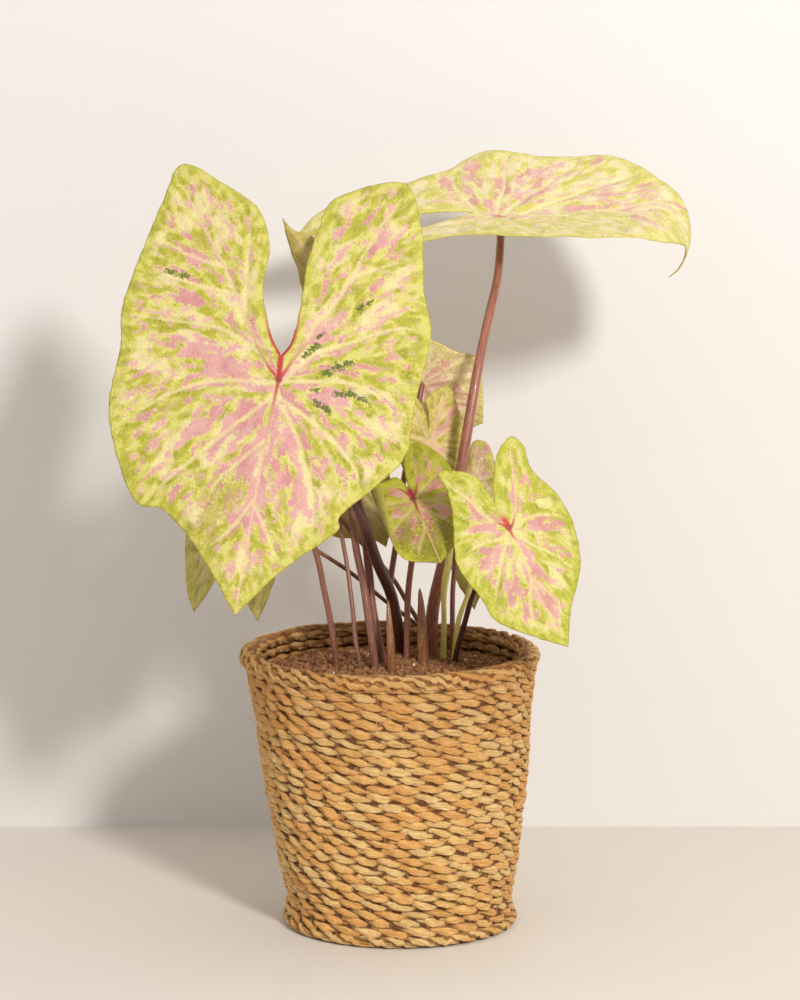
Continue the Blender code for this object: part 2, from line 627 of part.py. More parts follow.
def build():
    clear_scene()
    parts = bpy.data.collections.new("caladium")
    bpy.context.scene.collection.children.link(parts)
    basket(parts)
    cutters = grow_pot(parts)[1]
    stems = []
    for name, shape in LEAVES.items():
        blade("blade_" + name, shape, parts)
        stalk("petiole_" + name, shape, parts)
        stems.append((Vector(shape["base"]) * MM, shape["foot"] * MM))
    for name, shape in SHEATHS.items():
        sheath(name, shape, parts)
        stems.append((Vector(shape["base"]) * MM, shape["foot"] * MM))
    rolled_leaf(parts)
    stems.append((Vector(ROLLED_LEAF["base"]) * MM, ROLLED_LEAF["foot"] * MM))
    soil(stems, cutters, parts)


build()
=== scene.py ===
import math
import bmesh
import bpy
import numpy as np
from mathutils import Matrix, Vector, noise
from mathutils.geometry import delaunay_2d_cdt


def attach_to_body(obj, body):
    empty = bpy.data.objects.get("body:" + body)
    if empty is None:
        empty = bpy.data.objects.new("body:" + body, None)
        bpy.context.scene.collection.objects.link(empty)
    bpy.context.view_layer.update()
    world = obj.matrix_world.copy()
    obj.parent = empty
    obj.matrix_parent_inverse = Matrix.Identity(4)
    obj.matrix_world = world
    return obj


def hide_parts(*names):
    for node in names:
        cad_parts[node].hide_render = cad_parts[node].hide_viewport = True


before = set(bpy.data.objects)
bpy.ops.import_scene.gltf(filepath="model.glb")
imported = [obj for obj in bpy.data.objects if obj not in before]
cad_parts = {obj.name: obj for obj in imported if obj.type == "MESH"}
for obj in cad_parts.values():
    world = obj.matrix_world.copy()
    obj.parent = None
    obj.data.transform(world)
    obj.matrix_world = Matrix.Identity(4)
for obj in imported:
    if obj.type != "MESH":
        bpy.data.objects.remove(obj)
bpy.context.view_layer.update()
mm = 0.001


def linear(colour):  # from the 0 to 255 of a screen colour
    return tuple(((c / 255 + 0.055) / 1.055) ** 2.4 if c > 10.3 else c / 255 / 12.92 for c in colour)


class Num:  # a number inside a node tree
    def __init__(self, tree, link):
        self.tree = tree
        self.link = link

    def math(self, kind, *others):
        node = self.tree.nodes.new("ShaderNodeMath")
        node.operation = kind
        for socket, value in zip(node.inputs, (self, *others)):
            plug(self.tree, socket, value)
        return Num(self.tree, node.outputs[0])

    def __add__(self, other):
        return self.math("ADD", other)

    def __sub__(self, other):
        return self.math("SUBTRACT", other)

    def __rsub__(self, other):
        return self.math("MULTIPLY_ADD", -1.0, other)

    def __mul__(self, other):
        return self.math("MULTIPLY", other)

    def __truediv__(self, other):
        return self.math("DIVIDE", other)

    __radd__ = __add__
    __rmul__ = __mul__

    def clip(self):
        return self.math("MAXIMUM", 0.0).math("MINIMUM", 1.0)

    def low(self, limit, soft):  # 1 below the limit, 0 past it by soft
        return ((limit - self) / soft + 0.5).clip()

    def high(self, limit, soft):
        return ((self - limit) / soft + 0.5).clip()


def plug(tree, socket, value):
    if isinstance(value, Num):
        value = value.link
    if isinstance(value, bpy.types.NodeSocket):
        tree.links.new(value, socket)
    elif isinstance(value, tuple) and len(value) == 3 and len(socket.default_value) == 4:
        socket.default_value = (*value, 1.0)
    else:
        socket.default_value = value


class Paint:  # one procedural material
    def __init__(self, name, **constants):
        self.material = bpy.data.materials.new(name)
        self.material.use_nodes = True
        self.tree = self.material.node_tree
        self.shader = self.tree.nodes["Principled BSDF"]
        self.colour = None
        for key, value in constants.items():
            plug(self.tree, self.shader.inputs[key.replace("_", " ")], value)

    def node(self, kind, settings=None, **values):
        made = self.tree.nodes.new(kind)
        for key, value in (settings or {}).items():
            setattr(made, key, value)
        for key, value in values.items():
            plug(self.tree, made.inputs[key.replace("_", " ")], value)
        return made

    def field(self, name):  # the three numbers of a vector attribute
        read = self.node("ShaderNodeAttribute", {"attribute_name": name})
        parts = self.node("ShaderNodeSeparateXYZ", Vector=read.outputs["Vector"])
        return [Num(self.tree, s) for s in parts.outputs]

    def place(self):
        return self.node("ShaderNodeTexCoord").outputs["Object"]

    def vector(self, x, y, z):
        return self.node("ShaderNodeCombineXYZ", X=x, Y=y, Z=z).outputs[0]

    def inMillimetres(self):
        return self.scaled(self.place(), (1000.0, 1000.0, 1000.0))

    def scaled(self, vector, by):
        made = self.tree.nodes.new("ShaderNodeVectorMath")
        made.operation = "MULTIPLY"
        plug(self.tree, made.inputs[0], vector)
        made.inputs[1].default_value = by
        return made.outputs[0]

    def noise(self, vector, scale, detail=2.0, rough=0.5):
        made = self.node("ShaderNodeTexNoise", Vector=vector, Scale=scale, Detail=detail, Roughness=rough)
        return Num(self.tree, made.outputs[0])

    def cells(self, vector, scale):  # distance to the edge of the nearest cell
        made = self.node("ShaderNodeTexVoronoi", {"feature": "DISTANCE_TO_EDGE"}, Vector=vector, Scale=scale)
        return Num(self.tree, made.outputs["Distance"])

    def mix(self, share, a, b):
        made = self.tree.nodes.new("ShaderNodeMix")
        made.data_type = "RGBA"
        plug(self.tree, made.inputs[0], share)
        plug(self.tree, made.inputs[6], a)
        plug(self.tree, made.inputs[7], b)
        return made.outputs[2]

    def lay(self, share, colour):  # one more layer over the colour so far
        self.colour = self.mix(share, self.colour, colour)

    def bump(self, height, strength, distance):
        made = self.node("ShaderNodeBump", Height=height)
        made.inputs["Strength"].default_value = strength
        made.inputs["Distance"].default_value = distance
        plug(self.tree, self.shader.inputs["Normal"], made.outputs[0])

    def set(self, **values):
        for key, value in values.items():
            plug(self.tree, self.shader.inputs[key.replace("_", " ")], value)
        return self.material


def linked(name, data):
    made = bpy.data.objects.new(name, data)
    bpy.context.scene.collection.objects.link(made)
    return made


def piece(name, mesh, materials, replaced):
    made = linked(name, mesh)
    for material in materials:
        mesh.materials.append(material)
    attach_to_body(made, "root")
    if replaced:
        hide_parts(*replaced)
    return made


def meshOf(name, points, faces, smooth=True):
    mesh = bpy.data.meshes.new(name)
    mesh.from_pydata(np.asarray(points).tolist(), [], faces if isinstance(faces, list) else faces.tolist())
    if smooth:
        mesh.shade_smooth()
    return mesh


def attach(mesh, name, values):
    made = mesh.attributes.new(name, "FLOAT_VECTOR", "POINT")
    made.data.foreach_set("vector", np.asarray(values, np.float32).ravel())


def smoothLine(points, count):  # a curve through the points
    line = [np.array(p, float) for p in points]
    ends = [line[0] * 2 - line[1]] + line + [line[-1] * 2 - line[-2]]
    out = []
    for i in range(1, len(ends) - 2):
        a, b, c, d = ends[i - 1:i + 3]
        for j in range(count):
            t = j / count
            out.append(0.5 * (2 * b + (c - a) * t + (2 * a - 5 * b + 4 * c - d) * t * t
                              + (3 * b - a - 3 * c + d) * t ** 3))
    return np.array(out + [line[-1]])


def evenLine(line, step):  # the same line in even steps
    lengths = np.concatenate([[0], np.cumsum(np.linalg.norm(np.diff(line, axis=0), axis=1))])
    count = max(2, round(lengths[-1] / step))
    want = np.linspace(0, lengths[-1], count + 1)
    return np.stack([np.interp(want, lengths, line[:, k]) for k in range(line.shape[1])], 1)


print("helpers ready")


# Each leaf: its flat outline in millimetres, the hub at 0, 0 and the tip at +y, its bends and its stalk
def leaf(**values):
    usual = dict(keel=(0, 0), curl=((999, 0), (999, 0)), droop=0.0, sag=0.0, hook=(999, 0, 0),
                 wave=(1.0, 5, 0.0), foot=1.9, neck=1.3, tone="stalk")
    usual.update(values)
    return usual


plainShares = ((0.0, -0.22), (0.10, -0.42), (0.30, -0.86), (0.62, -1.0), (0.90, -0.66), (1.0, -0.10),
    (0.95, 0.28), (0.70, 0.58), (0.34, 0.84), (0.0, 1.0))


def plainMargin(behind, before, half):  # one side of a plain heart, from the sinus to the tip
    return [(half * x, (before if y > 0 else behind) * y) for x, y in plainShares]


leafShapes = dict(
    front_large=leaf(
        hub=(-63, -60, 303), tip=(-0.17, -0.337, -0.926), face=(0, -0.94, 0.342),
        left=[(1, -13), (9, -25), (17, -48), (18, -72), (28, -93), (50, -106), (74, -116), (80, -93),
            (84, -69), (89, -29), (86, -6), (85, 32), (65, 73), (46, 78), (23, 98), (1, 125)],
        right=[(1, -13), (-3, -22), (-4, -42), (-3, -65), (-6, -90), (-12, -108), (-44, -124), (-58, -101),
            (-66, -64), (-74, -38), (-72, 0), (-72, 27), (-60, 46), (-44, 65), (-43, 74), (-20, 97),
            (1, 125)],
        droop=0.12, sag=0.10, keel=(-6, -4), wave=(2.2, 7, 0.6),
        base=(0.5, 25), route=[(-1, 20, 158), (-5, 6, 180), (-13, -12, 202), (-22, -28, 231),
            (-42, -41, 276)],
        foot=3.4, neck=2.6, tone="dark"),
    top_right=leaf(
        hub=(56, 75, 383), tip=(1, -0.05, 0.04), face=(0, -0.30, 1),
        left=[(-7, -15), (-3, -28), (4, -50), (10, -80), (12, -98), (22, -100), (38, -88), (41, -70),
            (38, -46), (42, -18), (52, 8), (60, 30), (66, 48), (64, 66), (50, 84), (30, 98), (14, 108),
            (4, 120), (0, 137)],
        right=[(-7, -15), (-12, -31), (-16, -50), (-31, -96), (-42, -118), (-53, -99), (-49, -60),
            (-54, -31), (-64, -18), (-70, -3), (-64, 19), (-60, 41), (-60, 59), (-50, 76), (-36, 89),
            (-19, 103), (-6, 118), (0, 137)],
        sag=0.25, hook=(82, 2.7, 0.25), keel=(7, 15), wave=(2.2, 7, 0.4),
        base=(17.5, 22), route=[(18, 20, 169), (25, 14, 203), (33, 12, 247), (41, 21, 294), (47, 36, 322),
            (54, 56, 350)],
        foot=4.0, neck=2.2, tone="salmon"),
    front_right=leaf(
        hub=(57, -55, 225), tip=(0.436, -0.255, -0.863), face=(0.15, -0.93, 0.35),
        left=[(1, -15), (2, -23), (4, -32), (12, -39), (21, -42), (21, -31), (24, -19), (31, -2), (34, 9),
            (30, 27), (28, 42), (14, 58), (0, 70)],
        right=[(1, -15), (-3, -25), (-10, -34), (-16, -40), (-28, -45), (-33, -38), (-31, -24), (-39, -7),
            (-40, 11), (-33, 30), (-25, 40), (-11, 54), (0, 70)],
        keel=(-4, -24), wave=(1.2, 6, 0.3),
        base=(30, 0), route=[(35, -6, 166), (40, -13, 184), (49, -27, 204)],
        foot=1.6, neck=1.4, tone="dark"),
    centre_cupped=leaf(
        hub=(7, -22, 236), tip=(0.30, -0.72, -0.62), face=(-0.1, -0.62, 0.78),
        left=[(0, -9), (4, -18), (12, -16), (22, -17), (28, -12), (33, 2), (32, 16), (27, 30), (17, 40),
            (7, 45), (0, 48)],
        right=[(0, -9), (-2, -22), (-9, -37), (-18, -32), (-24, -18), (-25, -4), (-21, 12), (-16, 28),
            (-9, 40), (0, 48)],
        keel=(4, 6), curl=((13, 7.0), (16, 1.5)), wave=(0.8, 5, 1.0),
        base=(3.8, 8), route=[(4, 8, 172), (5, 6, 187), (7, 0, 205)],
        foot=1.9, neck=1.6, tone="salmon"),
    back_upper=leaf(
        hub=(12, 58, 290), tip=(0.78, 0.22, -0.58), face=(0.1, 0.9, 0.4),
        left=[(0, -9), (6, -24), (20, -30), (27, -13), (29, 0), (33, 14), (21, 27), (9, 37), (3, 42)],
        right=[(0, -9), (-5, -22), (-17, -31), (-25, -18), (-28, 2), (-26, 18), (-17, 30), (-6, 38),
            (3, 42)],
        wave=(1.2, 5, 2.0), base=(-1.5, 38), route=[(-5, 36, 172), (-5, 36, 185), (-2, 38, 205),
            (2, 43, 238)],
        foot=1.9, neck=1.5),
    middle_upper=leaf(
        hub=(17, 28, 258), tip=(0.2, -0.25, -0.93), face=(0.3, -0.88, 0.35),
        left=[(-1, -10), (-1, -20), (2, -29), (8, -34), (18, -28), (22, -10), (20, 8), (12, 26), (0, 38)],
        right=[(-1, -10), (-3, -20), (-3, -27), (-9, -31), (-18, -33), (-20, -24), (-21, -10), (-18, 6),
            (-10, 24), (0, 38)],
        keel=(8, 0), wave=(1.0, 5, 0.5), base=(29, 27), route=[(29, 27, 176), (30, 28, 200), (25, 31, 228)],
        foot=1.5, neck=1.3, tone="salmon"),
    back_centre=leaf(
        hub=(-26, 24, 246), tip=(0.36, 0.25, -0.88), face=(-0.05, 0.9, 0.3),
        left=[(0, -12), (5, -24), (12, -26), (17, -12), (18, 4), (16, 20), (11, 34), (6, 42), (0, 50)],
        right=[(0, -12), (-5, -24), (-14, -30), (-24, -18), (-28, 0), (-28, 20), (-25, 31), (-14, 38),
            (-6, 42), (0, 50)],
        wave=(1.6, 5, 1.4), base=(-9.7, -10), route=[(-15, -7, 174), (-17, -3, 195), (-20, 6, 218)],
        foot=2.7, neck=2.0),
    left_low=leaf(
        hub=(-91, -12, 238), tip=(-0.26, -0.40, -0.87), face=(-0.50, -0.72, 0.42),
        left=plainMargin(30, 69, 24), right=plainMargin(30, 69, -14),
        wave=(1.4, 6, 0.8), base=(20, 36), route=[(11, 34, 157), (-9, 25, 174), (-30, 13, 193),
            (-60, 2, 214)],
        foot=1.2, neck=1.1),
    left_back=leaf(
        hub=(-71, 27, 236), tip=(-0.10, -0.06, -0.98), face=(-0.35, 0.88, 0.1),
        left=plainMargin(32, 74, 13), right=plainMargin(32, 74, -26),
        wave=(1.4, 5, 0.2), base=(11, 46), route=[(11, 46, 156), (4, 45, 169), (-4, 43, 183),
            (-19, 33, 202), (-42, 18, 228)],
        foot=1.4, neck=1.2),
    right_back=leaf(
        hub=(36, 40, 225), tip=(0.09, 0.05, -0.99), face=(0.1, 1, 0.1),
        left=[(0, -8), (3, -22), (7, -34), (13, -35), (17, -30), (19, -14), (18, 6), (15, 24), (9, 42),
            (0, 60)],
        right=[(0, -8), (-3, -20), (-8, -32), (-14, -30), (-18, -16), (-17, 6), (-14, 26), (-8, 44),
            (0, 60)],
        wave=(0.8, 5, 1.1), base=(29.5, 8.5), route=[(32, 8, 165), (38, 11, 182), (41, 19, 203)],
        foot=1.6, neck=1.2, tone="green"),
    back_high=leaf(
        hub=(-25, -6, 331), tip=(-0.57, -0.05, 0.82), face=(-0.1, 1, 0),
        left=[(0, -10), (4, -22), (14, -28), (22, -20), (24, -4), (22, 14), (16, 28), (10, 40), (7.5, 48),
            (4, 56), (0, 66)],
        right=[(0, -10), (-5, -24), (-16, -30), (-26, -20), (-30, 0), (-27, 18), (-18, 34), (-9, 46),
            (-4, 53), (-0.8, 58), (0, 66)],
        keel=(42, 8), wave=(0.8, 6, 0.4),
        base=(-13.5, -19), route=[(-17, -17, 170), (-20, -14, 190), (-24, -12, 210), (-27, -12, 240),
            (-28, -14, 290)],
        foot=2.2, neck=1.8),
    left_high=leaf(
        hub=(-104, 22, 292), tip=(-0.70, 0.40, -0.60), face=(-0.45, 0.35, 0.82),
        left=plainMargin(30, 54, 32), right=plainMargin(30, 54, -32),
        droop=0.3, sag=0.2, keel=(-5, -5), wave=(1.6, 5, 2.2),
        base=(-34.7, -8), route=[(-37, -8, 163), (-41, -7, 184), (-48, -6, 212), (-68, -5, 250),
            (-92, 8, 276)],
        foot=1.9, neck=1.4),
    back_low=leaf(
        hub=(-60, 8, 290), tip=(-0.15, 0.92, -0.30), face=(0, 0.30, 0.95),
        left=plainMargin(26, 52, 25), right=plainMargin(26, 52, -25),
        droop=0.4, sag=0.2, keel=(-5, -5), wave=(1.4, 5, 1.7), base=(-21.6, -21),
        route=[(-24, -19, 159), (-26, -15, 179), (-30, -8, 206), (-37, -4, 234), (-51, -2, 262)],
        foot=1.4, neck=1.0),
)
sheathShapes = dict(
    sheath_front=dict(base=(-4.6, -25), route=[(-5.2, -24.5, 158), (-6, -22.5, 172)],
                      tip=(-6.4, -20.5, 181), foot=2.5),
    sheath_right=dict(base=(12.4, -3), route=[(11.8, -3.4, 160), (11.4, -5, 175)],
                      tip=(10.6, -6, 185), foot=3.2),
)
rolledShape = dict(base=(23.6, 12), route=[(24, 8, 165), (24, 2, 184), (27, -3, 205)], tip=(28, -6, 236),
                   foot=1.9, waist=1.3, belly=2.2)

# The fine form of a blade in millimetres, and the rule for veins that have no route of their own
leafForm = dict(thick=0.70, rimThick=0.45, ribRise=0.45, valley=0.75, puff=0.90, lump=0.55, ripple=0.80,
                soften=6.0, nibble=0.45, basal=((0.14, 0.52), (0.42, 0.42), (0.70, 0.34)),
                inner=((0.35, 0.10), (0.68, 0.19)),
                middle=((0.0, 0.64), (0.02, 0.75), (0.16, 0.84), (0.40, 0.90), (0.62, 0.95)))


def bendAt(shape, x, s):  # the blade's downward slope at s millimetres towards the tip
    start, rate, earlier = shape["hook"]
    return np.radians(np.where(s < 0, -shape["sag"] * s,
                               -shape["droop"] * s - rate * np.maximum(0, s - start + earlier * x)))


def riseAt(shape, half, u):  # the slope of a half at u millimetres from the midrib
    keel = np.where(half, shape["keel"][0], shape["keel"][1])
    start = np.where(half, shape["curl"][0][0], shape["curl"][1][0])
    rate = np.where(half, shape["curl"][0][1], shape["curl"][1][1])
    return np.radians(keel * np.minimum(1, u / leafForm["soften"]) + rate * np.maximum(0, u - start))


def travel(slope, length):  # how far a bent strip of this length goes, and how high
    pieces = 14
    step = length / pieces
    run = rise = 0
    for i in range(pieces):
        angle = slope(step * (i + 0.5))
        run, rise = run + np.cos(angle) * step, rise + np.sin(angle) * step
    return run, rise


def axesOf(shape):
    tip = np.array(shape["tip"], float)
    tip /= np.linalg.norm(tip)
    face = np.array(shape["face"], float)
    face -= tip * (face @ tip)
    face /= np.linalg.norm(face)
    return np.cross(tip, face), tip, face


def bent(shape, flat, lift=0):  # flat millimetres to the bent blade
    x, y = flat[:, 0], flat[:, 1]
    side, tip, face = axesOf(shape)
    run, height = travel(lambda s: bendAt(shape, x, s), y)
    out, rise = travel(lambda u: riseAt(shape, x > 0, u), np.abs(x))
    tilt = bendAt(shape, x, y)
    size, count, phase = shape["wave"]
    reach = max(math.hypot(*p) for p in shape["left"] + shape["right"])
    share = np.minimum(1, np.hypot(x, y) / reach)
    rise = rise + size * share ** 2 * np.sin(count * np.arctan2(x, y) + phase) + lift
    return (np.array(shape["hub"]) + np.outer(np.sign(x) * out, side)
            + np.outer(run - np.sin(tilt) * rise, tip) + np.outer(height + np.cos(tilt) * rise, face))


def gapTo(line, points):  # the nearest distance to a line, and where on it
    best = np.full(len(points), 1e9)
    at = np.zeros(len(points))
    for i, (a, b) in enumerate(zip(line[:-1], line[1:])):
        along = b - a
        share = np.clip((points - a) @ along / max(along @ along, 1e-9), 0, 1)
        far = np.linalg.norm(points - a - share[:, None] * along, axis=1)
        near = far < best
        best[near] = far[near]
        at[near] = (i + share[near]) / (len(line) - 1)
    return best, at


def insideOf(loop, points):
    odd = np.zeros(len(points), bool)
    for a, b in zip(loop, np.roll(loop, -1, 0)):
        cross = (a[1] > points[:, 1]) != (b[1] > points[:, 1])
        odd ^= cross & (points[:, 0] < a[0] + (points[:, 1] - a[1]) * (b[0] - a[0]) / (b[1] - a[1] + 1e-12))
    return odd


def bow(a, b, bulge, count=14):  # a vein from a to b that leaves towards the base and turns to the tip
    chord = b - a
    middle = (a + b) / 2 + np.array([0, -1]) * np.linalg.norm(chord) * bulge
    t = np.linspace(0, 1, count)[:, None]
    return (1 - t) ** 2 * a + 2 * t * (1 - t) * middle + t ** 2 * b


# Larger marks, in flat millimetres: x, y and radius
# The olive marks are painted shade, where a blade lies in shade; fleck and pink are the leaf's own colour
leafMarks = dict(
    front_large=dict(
        fleck=[(-24, -8, 4), (-29, -12, 5), (-34, -15, 4), (-32, 2, 4), (-38, 1, 5), (-45, 3, 4),
               (-22, 9, 4), (-27, 11, 4), (-12, -16, 4), (-15, -20, 4), (67, -51, 4), (60, -50, 4),
               (-35, -46, 4), (-20, 2, 3), (-17, -27, 3), (-39, -50, 3)],
        painted_shade=[(23, 77, 13), (15, 65, 13), (20, 88, 9), (53, -69, 9)],
        pink=[(16, 27, 15), (8, 44, 15), (-10, 30, 13), (-10, 52, 11), (-22, 62, 9), (3, 66, 12),
              (30, -2, 15), (46, -12, 11), (-18, -28, 9), (-26, 6, 12), (34, 30, 12), (55, -60, 9),
              (-40, -86, 9), (56, -38, 9)]),
    top_right=dict(
        pink=[(-33, 2, 9), (-23, 8, 9), (-17, 17, 9), (-26, 23, 9), (-10, -4, 8), (25, 79, 8),
              (-43, 30, 8), (-17, 58, 9), (-6, 39, 7), (-53, -15, 9), (-41, -16, 9), (-29, -17, 9),
              (-17, -16, 8), (-12, -7, 6), (-28, 4, 8), (-22, 9, 9), (-32, 13, 9), (-27, 18, 9),
              (-42, 19, 8), (-49, 30, 8), (-37, 31, 9), (-38, 0, 7), (-41, -29, 7), (-25, 59, 9),
              (-14, 58, 8), (-24, 82, 9), (-7, 69, 8), (15, 78, 8), (28, 82, 8), (-4, 25, 8), (-5, 36, 8),
              (-6, 46, 7), (-51, 56, 7), (-1, -17, 5), (5, 9, 5), (-14, 98, 8)]),
    front_right=dict(
        pink=[(-15, 4, 8), (-23, 4, 7), (11, 8, 8), (17, 11, 7), (-3, 21, 8), (-5, 28, 8), (12, 28, 8),
              (12, 45, 8), (10, -5, 8), (14, -12, 6), (-23, -21, 6), (-11, -12, 8), (-31, 8, 5),
              (-3, 50, 9), (-25, 24, 6), (20, 19, 7), (1, 30, 9), (1, 40, 9), (-14, -17, 6)]),
    centre_cupped=dict(
        # painted shade inside the cup
        painted_shade=[(2, 34, 20), (-8, 28, 14), (12, 24, 12)],
        pink=[(-12, -2, 5), (-17, -6, 4), (6, 5, 6), (-3, 11, 6), (-13, 15, 5), (5, 15, 5), (-5, 19, 4),
              (11, 20, 5), (8, 28, 4), (8, -6, 5), (-8, -12, 4)]),
    back_upper=dict(
        pink=[(5, 2, 12), (6, 12, 12), (-5, 10, 12), (31, 2, 9), (0, 22, 10)]),
    middle_upper=dict(
        pink=[(-7, -9, 8), (-4, 2, 7), (-15, -19, 6), (4, 14, 7)]),
    right_back=dict(
        pink=[(14, -30, 8), (9, -16, 9), (0, 4, 10)]))

# Main veins of the leaves in front, in flat millimetres from the hub; the rest follow a rule
veinRoutes = dict(
    front_large=dict(
        ribs=[[(0, 0), (1, 40), (1, 90), (1, 124)],
              [(0, 0), (9, -9), (23, -30), (44, -64), (62, -89), (70, -102)],
              [(0, 0), (-8, -16), (-16, -31), (-25, -55), (-36, -91), (-46, -114)]],
        laterals=[[(12, -13), (34, -23), (62, -24), (80, -24)], [(2, 2), (31, 5), (54, 15), (76, 33)],
                  [(0, 8), (18, 27), (36, 47), (49, 62), (53, 72)],
                  [(1, 33), (12, 45), (22, 58), (27, 74)],
                  [(-2, 1), (-14, -15), (-30, -25), (-58, -40), (-70, -38)],
                  [(-2, 1), (-16, -2), (-34, -5), (-50, -2), (-66, 9)],
                  [(-19, -40), (-28, -61), (-40, -70), (-56, -79)],
                  [(-1, 9), (-27, 22), (-46, 38), (-52, 51)],
                  [(-1, 12), (-8, 18), (-18, 35), (-27, 54), (-32, 80)],
                  [(40, -58), (58, -62), (78, -70)], [(1, 64), (10, 80), (20, 92)],
                  [(1, 66), (-9, 82), (-17, 95)], [(24, -32), (27, -55), (30, -80)],
                  [(30, -43), (52, -46), (80, -50)]]),
    front_right=dict(
        ribs=[[(0, 0), (0, 15), (2, 37), (1, 69)], [(0, 0), (-3, -1), (-12, -13), (-20, -31), (-26, -43)],
              [(0, 0), (8, -9), (12, -20), (17, -30), (20, -40)]],
        laterals=[[(-1, 0), (-4, 1), (-15, -1), (-29, 2), (-40, 9)],
                  [(-1, 3), (-4, 8), (-10, 15), (-19, 23), (-28, 36)], [(0, 1), (5, 4), (16, 2), (32, 4)],
                  [(1, 3), (5, 7), (14, 18), (21, 28), (27, 38)], [(1, 29), (-4, 40), (-8, 52)],
                  [(1, 29), (8, 42), (11, 56)]]),
    top_right=dict(
        ribs=[[(0, 0), (-3, 20), (-1, 60), (4, 100), (0, 136)],
              [(0, 0), (-9, -14), (-22, -30), (-36, -70), (-42, -112)],
              [(0, 0), (6, -16), (12, -50), (18, -94)]],
        laterals=[[(-3, 2), (-15, 10), (-30, 25), (-52, 44)], [(-3, 12), (-15, 32), (-26, 51), (-38, 76)],
                  [(-4, -2), (-30, 2), (-68, 4)], [(-8, -12), (-28, -22), (-56, -30)],
                  [(0, 2), (23, 10), (56, 26)], [(-2, 30), (12, 44), (36, 60), (58, 74)],
                  [(-1, 60), (-10, 80), (-18, 100)], [(2, 66), (14, 84), (24, 100)],
                  [(-25, -38), (-40, -62), (-50, -96)], [(8, -22), (26, -24), (42, -22)],
                  [(13, -52), (26, -60), (38, -80)]]),
    centre_cupped=dict(
        ribs=[[(0, 0), (0, 24), (0, 47)], [(0, 0), (-5, -9), (-8, -22), (-9, -34)],
              [(0, 0), (4, -8), (12, -12), (24, -13)]],
        laterals=[[(-1, 0), (-10, -6), (-22, -14)], [(-1, 2), (-12, 6), (-23, 8)],
                  [(0, 6), (-10, 18), (-16, 28)], [(1, 1), (16, 0), (31, 2)],
                  [(0, 5), (12, 14), (27, 28)], [(0, 22), (7, 34), (10, 43)]]))


def veinsOf(sides, name):
    if name in veinRoutes:
        return [[smoothLine(line, 6) for line in veinRoutes[name][kind]] for kind in ("ribs", "laterals")]
    tip = sides[0][-1]
    middle = bow(np.zeros(2), tip, 0, 30)
    ribs, laterals = [middle], []
    for side in sides:
        end = side[np.argmin(side[:, 1])] * 0.94
        outward = np.array([np.sign(side[len(side) // 2, 0]), 0])
        t = np.linspace(0, 1, 20)[:, None]
        rib = 2 * t * (1 - t) * (end * 0.5 - outward * np.abs(end[1]) * 0.04) + t ** 2 * end
        ribs.append(rib)
        for source, rows, bulge in ((rib, leafForm["basal"], 0.10), (rib, leafForm["inner"], -0.05),
                                    (middle, leafForm["middle"], 0.13)):
            for start, finish in rows:
                a = source[int(start * (len(source) - 1))]
                laterals.append(bow(a, side[int(finish * (len(side) - 1))], bulge))
    return ribs, laterals


def flowAlong(lines, points):  # the way the veins run at each point
    flow = np.zeros((len(points), 2))
    for line in lines:
        for a, b in zip(line[:-1], line[1:]):
            far = ((points - (a + b) / 2) ** 2).sum(1)
            flow += (b - a) / ((far + 16) ** 2)[:, None]
    return flow / np.linalg.norm(flow, axis=1)[:, None]


def drawn(points, flow, seed, size, reach):  # random patches drawn out along the veins, spread from 0 to 1
    total = np.zeros(len(points))
    for part, share in ((1.0, 1.0), (0.45, 0.45)):
        for k in np.linspace(-1, 1, 7):
            spots = (points + flow * k * reach * part) / (size * part)
            total += share * np.array([noise.noise((x, y, seed + part)) for x, y in spots])
    return total.argsort().argsort() / (len(points) - 1)


